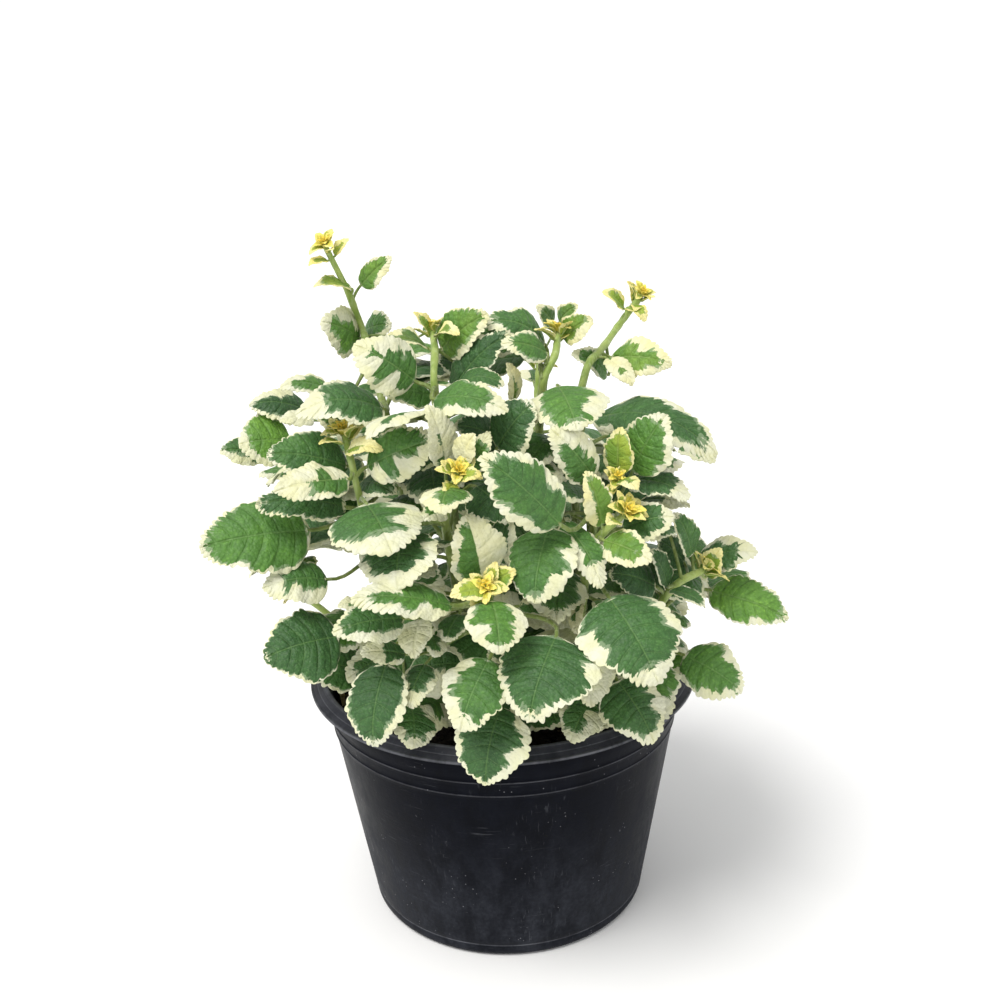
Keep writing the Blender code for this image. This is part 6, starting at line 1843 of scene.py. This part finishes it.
def make_plant(leaf_mat, stem_mat):
    stems, tufts, leaves, fixed, placed, notes = grow_plant(pot_bodies())
    hidden = fill_leaves(stems, fixed, placed, leaves)
    hidden += close_gaps(stems, fixed, placed, leaves, hidden)
    pair = [leaf_mat, stem_mat]
    made = []
    for lf in leaves:
        if lf.owner:
            continue
        rng = random.Random("blade" + lf.name)
        deep = 1.6
        if not hasattr(lf, "held"):
            reach_stem(lf, stems)
            deep = 0.0
        sh = Sheaf()
        blade(sh, lf, rng)
        stalk(sh, lf, rng, deep)
        ob = sh.build(lf.name + "_blade", pair)
        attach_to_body(ob, "root")
        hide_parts(lf.name)
        made.append(ob)
    for name, s in stems.items():
        sh = Sheaf()
        mine = [lf for lf in leaves + hidden if lf.owner == name]
        joints = [s.nearest(lf.foot)[1] * s.length for lf in mine]
        stem_mesh(sh, s, joints)
        for lf in mine:
            rng = random.Random("blade" + lf.name)
            blade(sh, lf, rng, 1.0 if lf in leaves else 0.8)
            stalk(sh, lf, rng)
        for lf in [t for t in tufts if t.owner == name]:
            rng = random.Random("blade" + lf.name)
            blade(sh, lf, rng, 0.8 if name.startswith("b") else 1.0, curl=0.12)
            stalk(sh, lf, rng)
        for lf in bud_leaves(s):
            rng = random.Random("blade" + lf.name)
            blade(sh, lf, rng, 0.4, curl=-0.12)
        ob = sh.build("shoot_" + name + "_growth", pair)
        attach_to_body(ob, "root")
        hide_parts("shoot_" + name)
        made.append(ob)
    return stems, made


def make_stage():
    me = bpy.data.meshes.new("floor")
    r = 60.0
    me.from_pydata([(-r, -r, 0), (r, -r, 0), (r, r, 0), (-r, r, 0)], [], [(0, 1, 2, 3)])
    me.materials.append(floor_material())
    floor = bpy.data.objects.new("floor", me)
    bpy.context.scene.collection.objects.link(floor)
    w = bpy.data.worlds.new("studio")
    bpy.context.scene.world = w
    w.use_nodes = True
    t = w.node_tree
    bg = t.nodes["Background"]
    # a soft dome over a bright even backdrop that meets the floor
    tc = t.nodes.new("ShaderNodeTexCoord")
    sep = t.nodes.new("ShaderNodeSeparateXYZ")
    t.links.new(tc.outputs["Generated"], sep.inputs[0])
    mr = t.nodes.new("ShaderNodeMapRange")
    mr.interpolation_type = 'SMOOTHSTEP'
    mr.inputs["From Min"].default_value = 0.20
    mr.inputs["From Max"].default_value = 0.42
    mr.inputs["To Min"].default_value = 1.05
    mr.inputs["To Max"].default_value = 0.74
    t.links.new(sep.outputs[2], mr.inputs["Value"])
    t.links.new(mr.outputs[0], bg.inputs[1])
    bg.inputs[0].default_value = (1.0, 1.0, 1.0, 1)
    sun = bpy.data.lights.new("key", 'SUN')
    sun.angle = math.radians(32)
    sun.energy = 2.35
    sun.color = (1.0, 0.985, 0.96)
    o = bpy.data.objects.new("key", sun)
    bpy.context.scene.collection.objects.link(o)
    o.location = (-0.5, -0.5, 1.2)
    o.rotation_mode = 'QUATERNION'
    o.rotation_quaternion = Vector((0.42, 0.38, -1.0)).to_track_quat('-Z', 'Y')
    cam = bpy.data.cameras.new("view")
    cam.lens = FOCAL * 36.0 / 1000.0
    cam.sensor_width = 36.0
    cam.clip_start = 0.01
    cam.clip_end = 500.0
    ob = bpy.data.objects.new("view", cam)
    bpy.context.scene.collection.objects.link(ob)
    m = Matrix((RIGHT, UP, -FWD)).transposed().to_4x4()
    m.translation = EYE * 0.001
    ob.matrix_world = m
    bpy.context.scene.camera = ob
    bpy.context.scene.view_settings.view_transform = 'Standard'
    bpy.context.scene.view_settings.look = 'None'


def main():
    make_stage()
    stems, made = make_plant(leaf_material(), stem_material())
    pot = make_pot(pot_material())
    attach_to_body(pot, "root")
    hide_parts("pot")
    soil = make_soil(soil_material())
    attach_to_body(soil, "root")
    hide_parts("potting_soil")
    bits = make_bits(soil_material("soil_chips", True), stems)
    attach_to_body(bits, "root")
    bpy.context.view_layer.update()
    n = sum(len(p.vertices) - 2 for o in made + [pot, soil, bits] for p in o.data.polygons)
    top = max((sum(len(p.vertices) - 2 for p in o.data.polygons), o.name) for o in made + [pot, soil, bits])
    print("triangles", n, "most", top)


main()
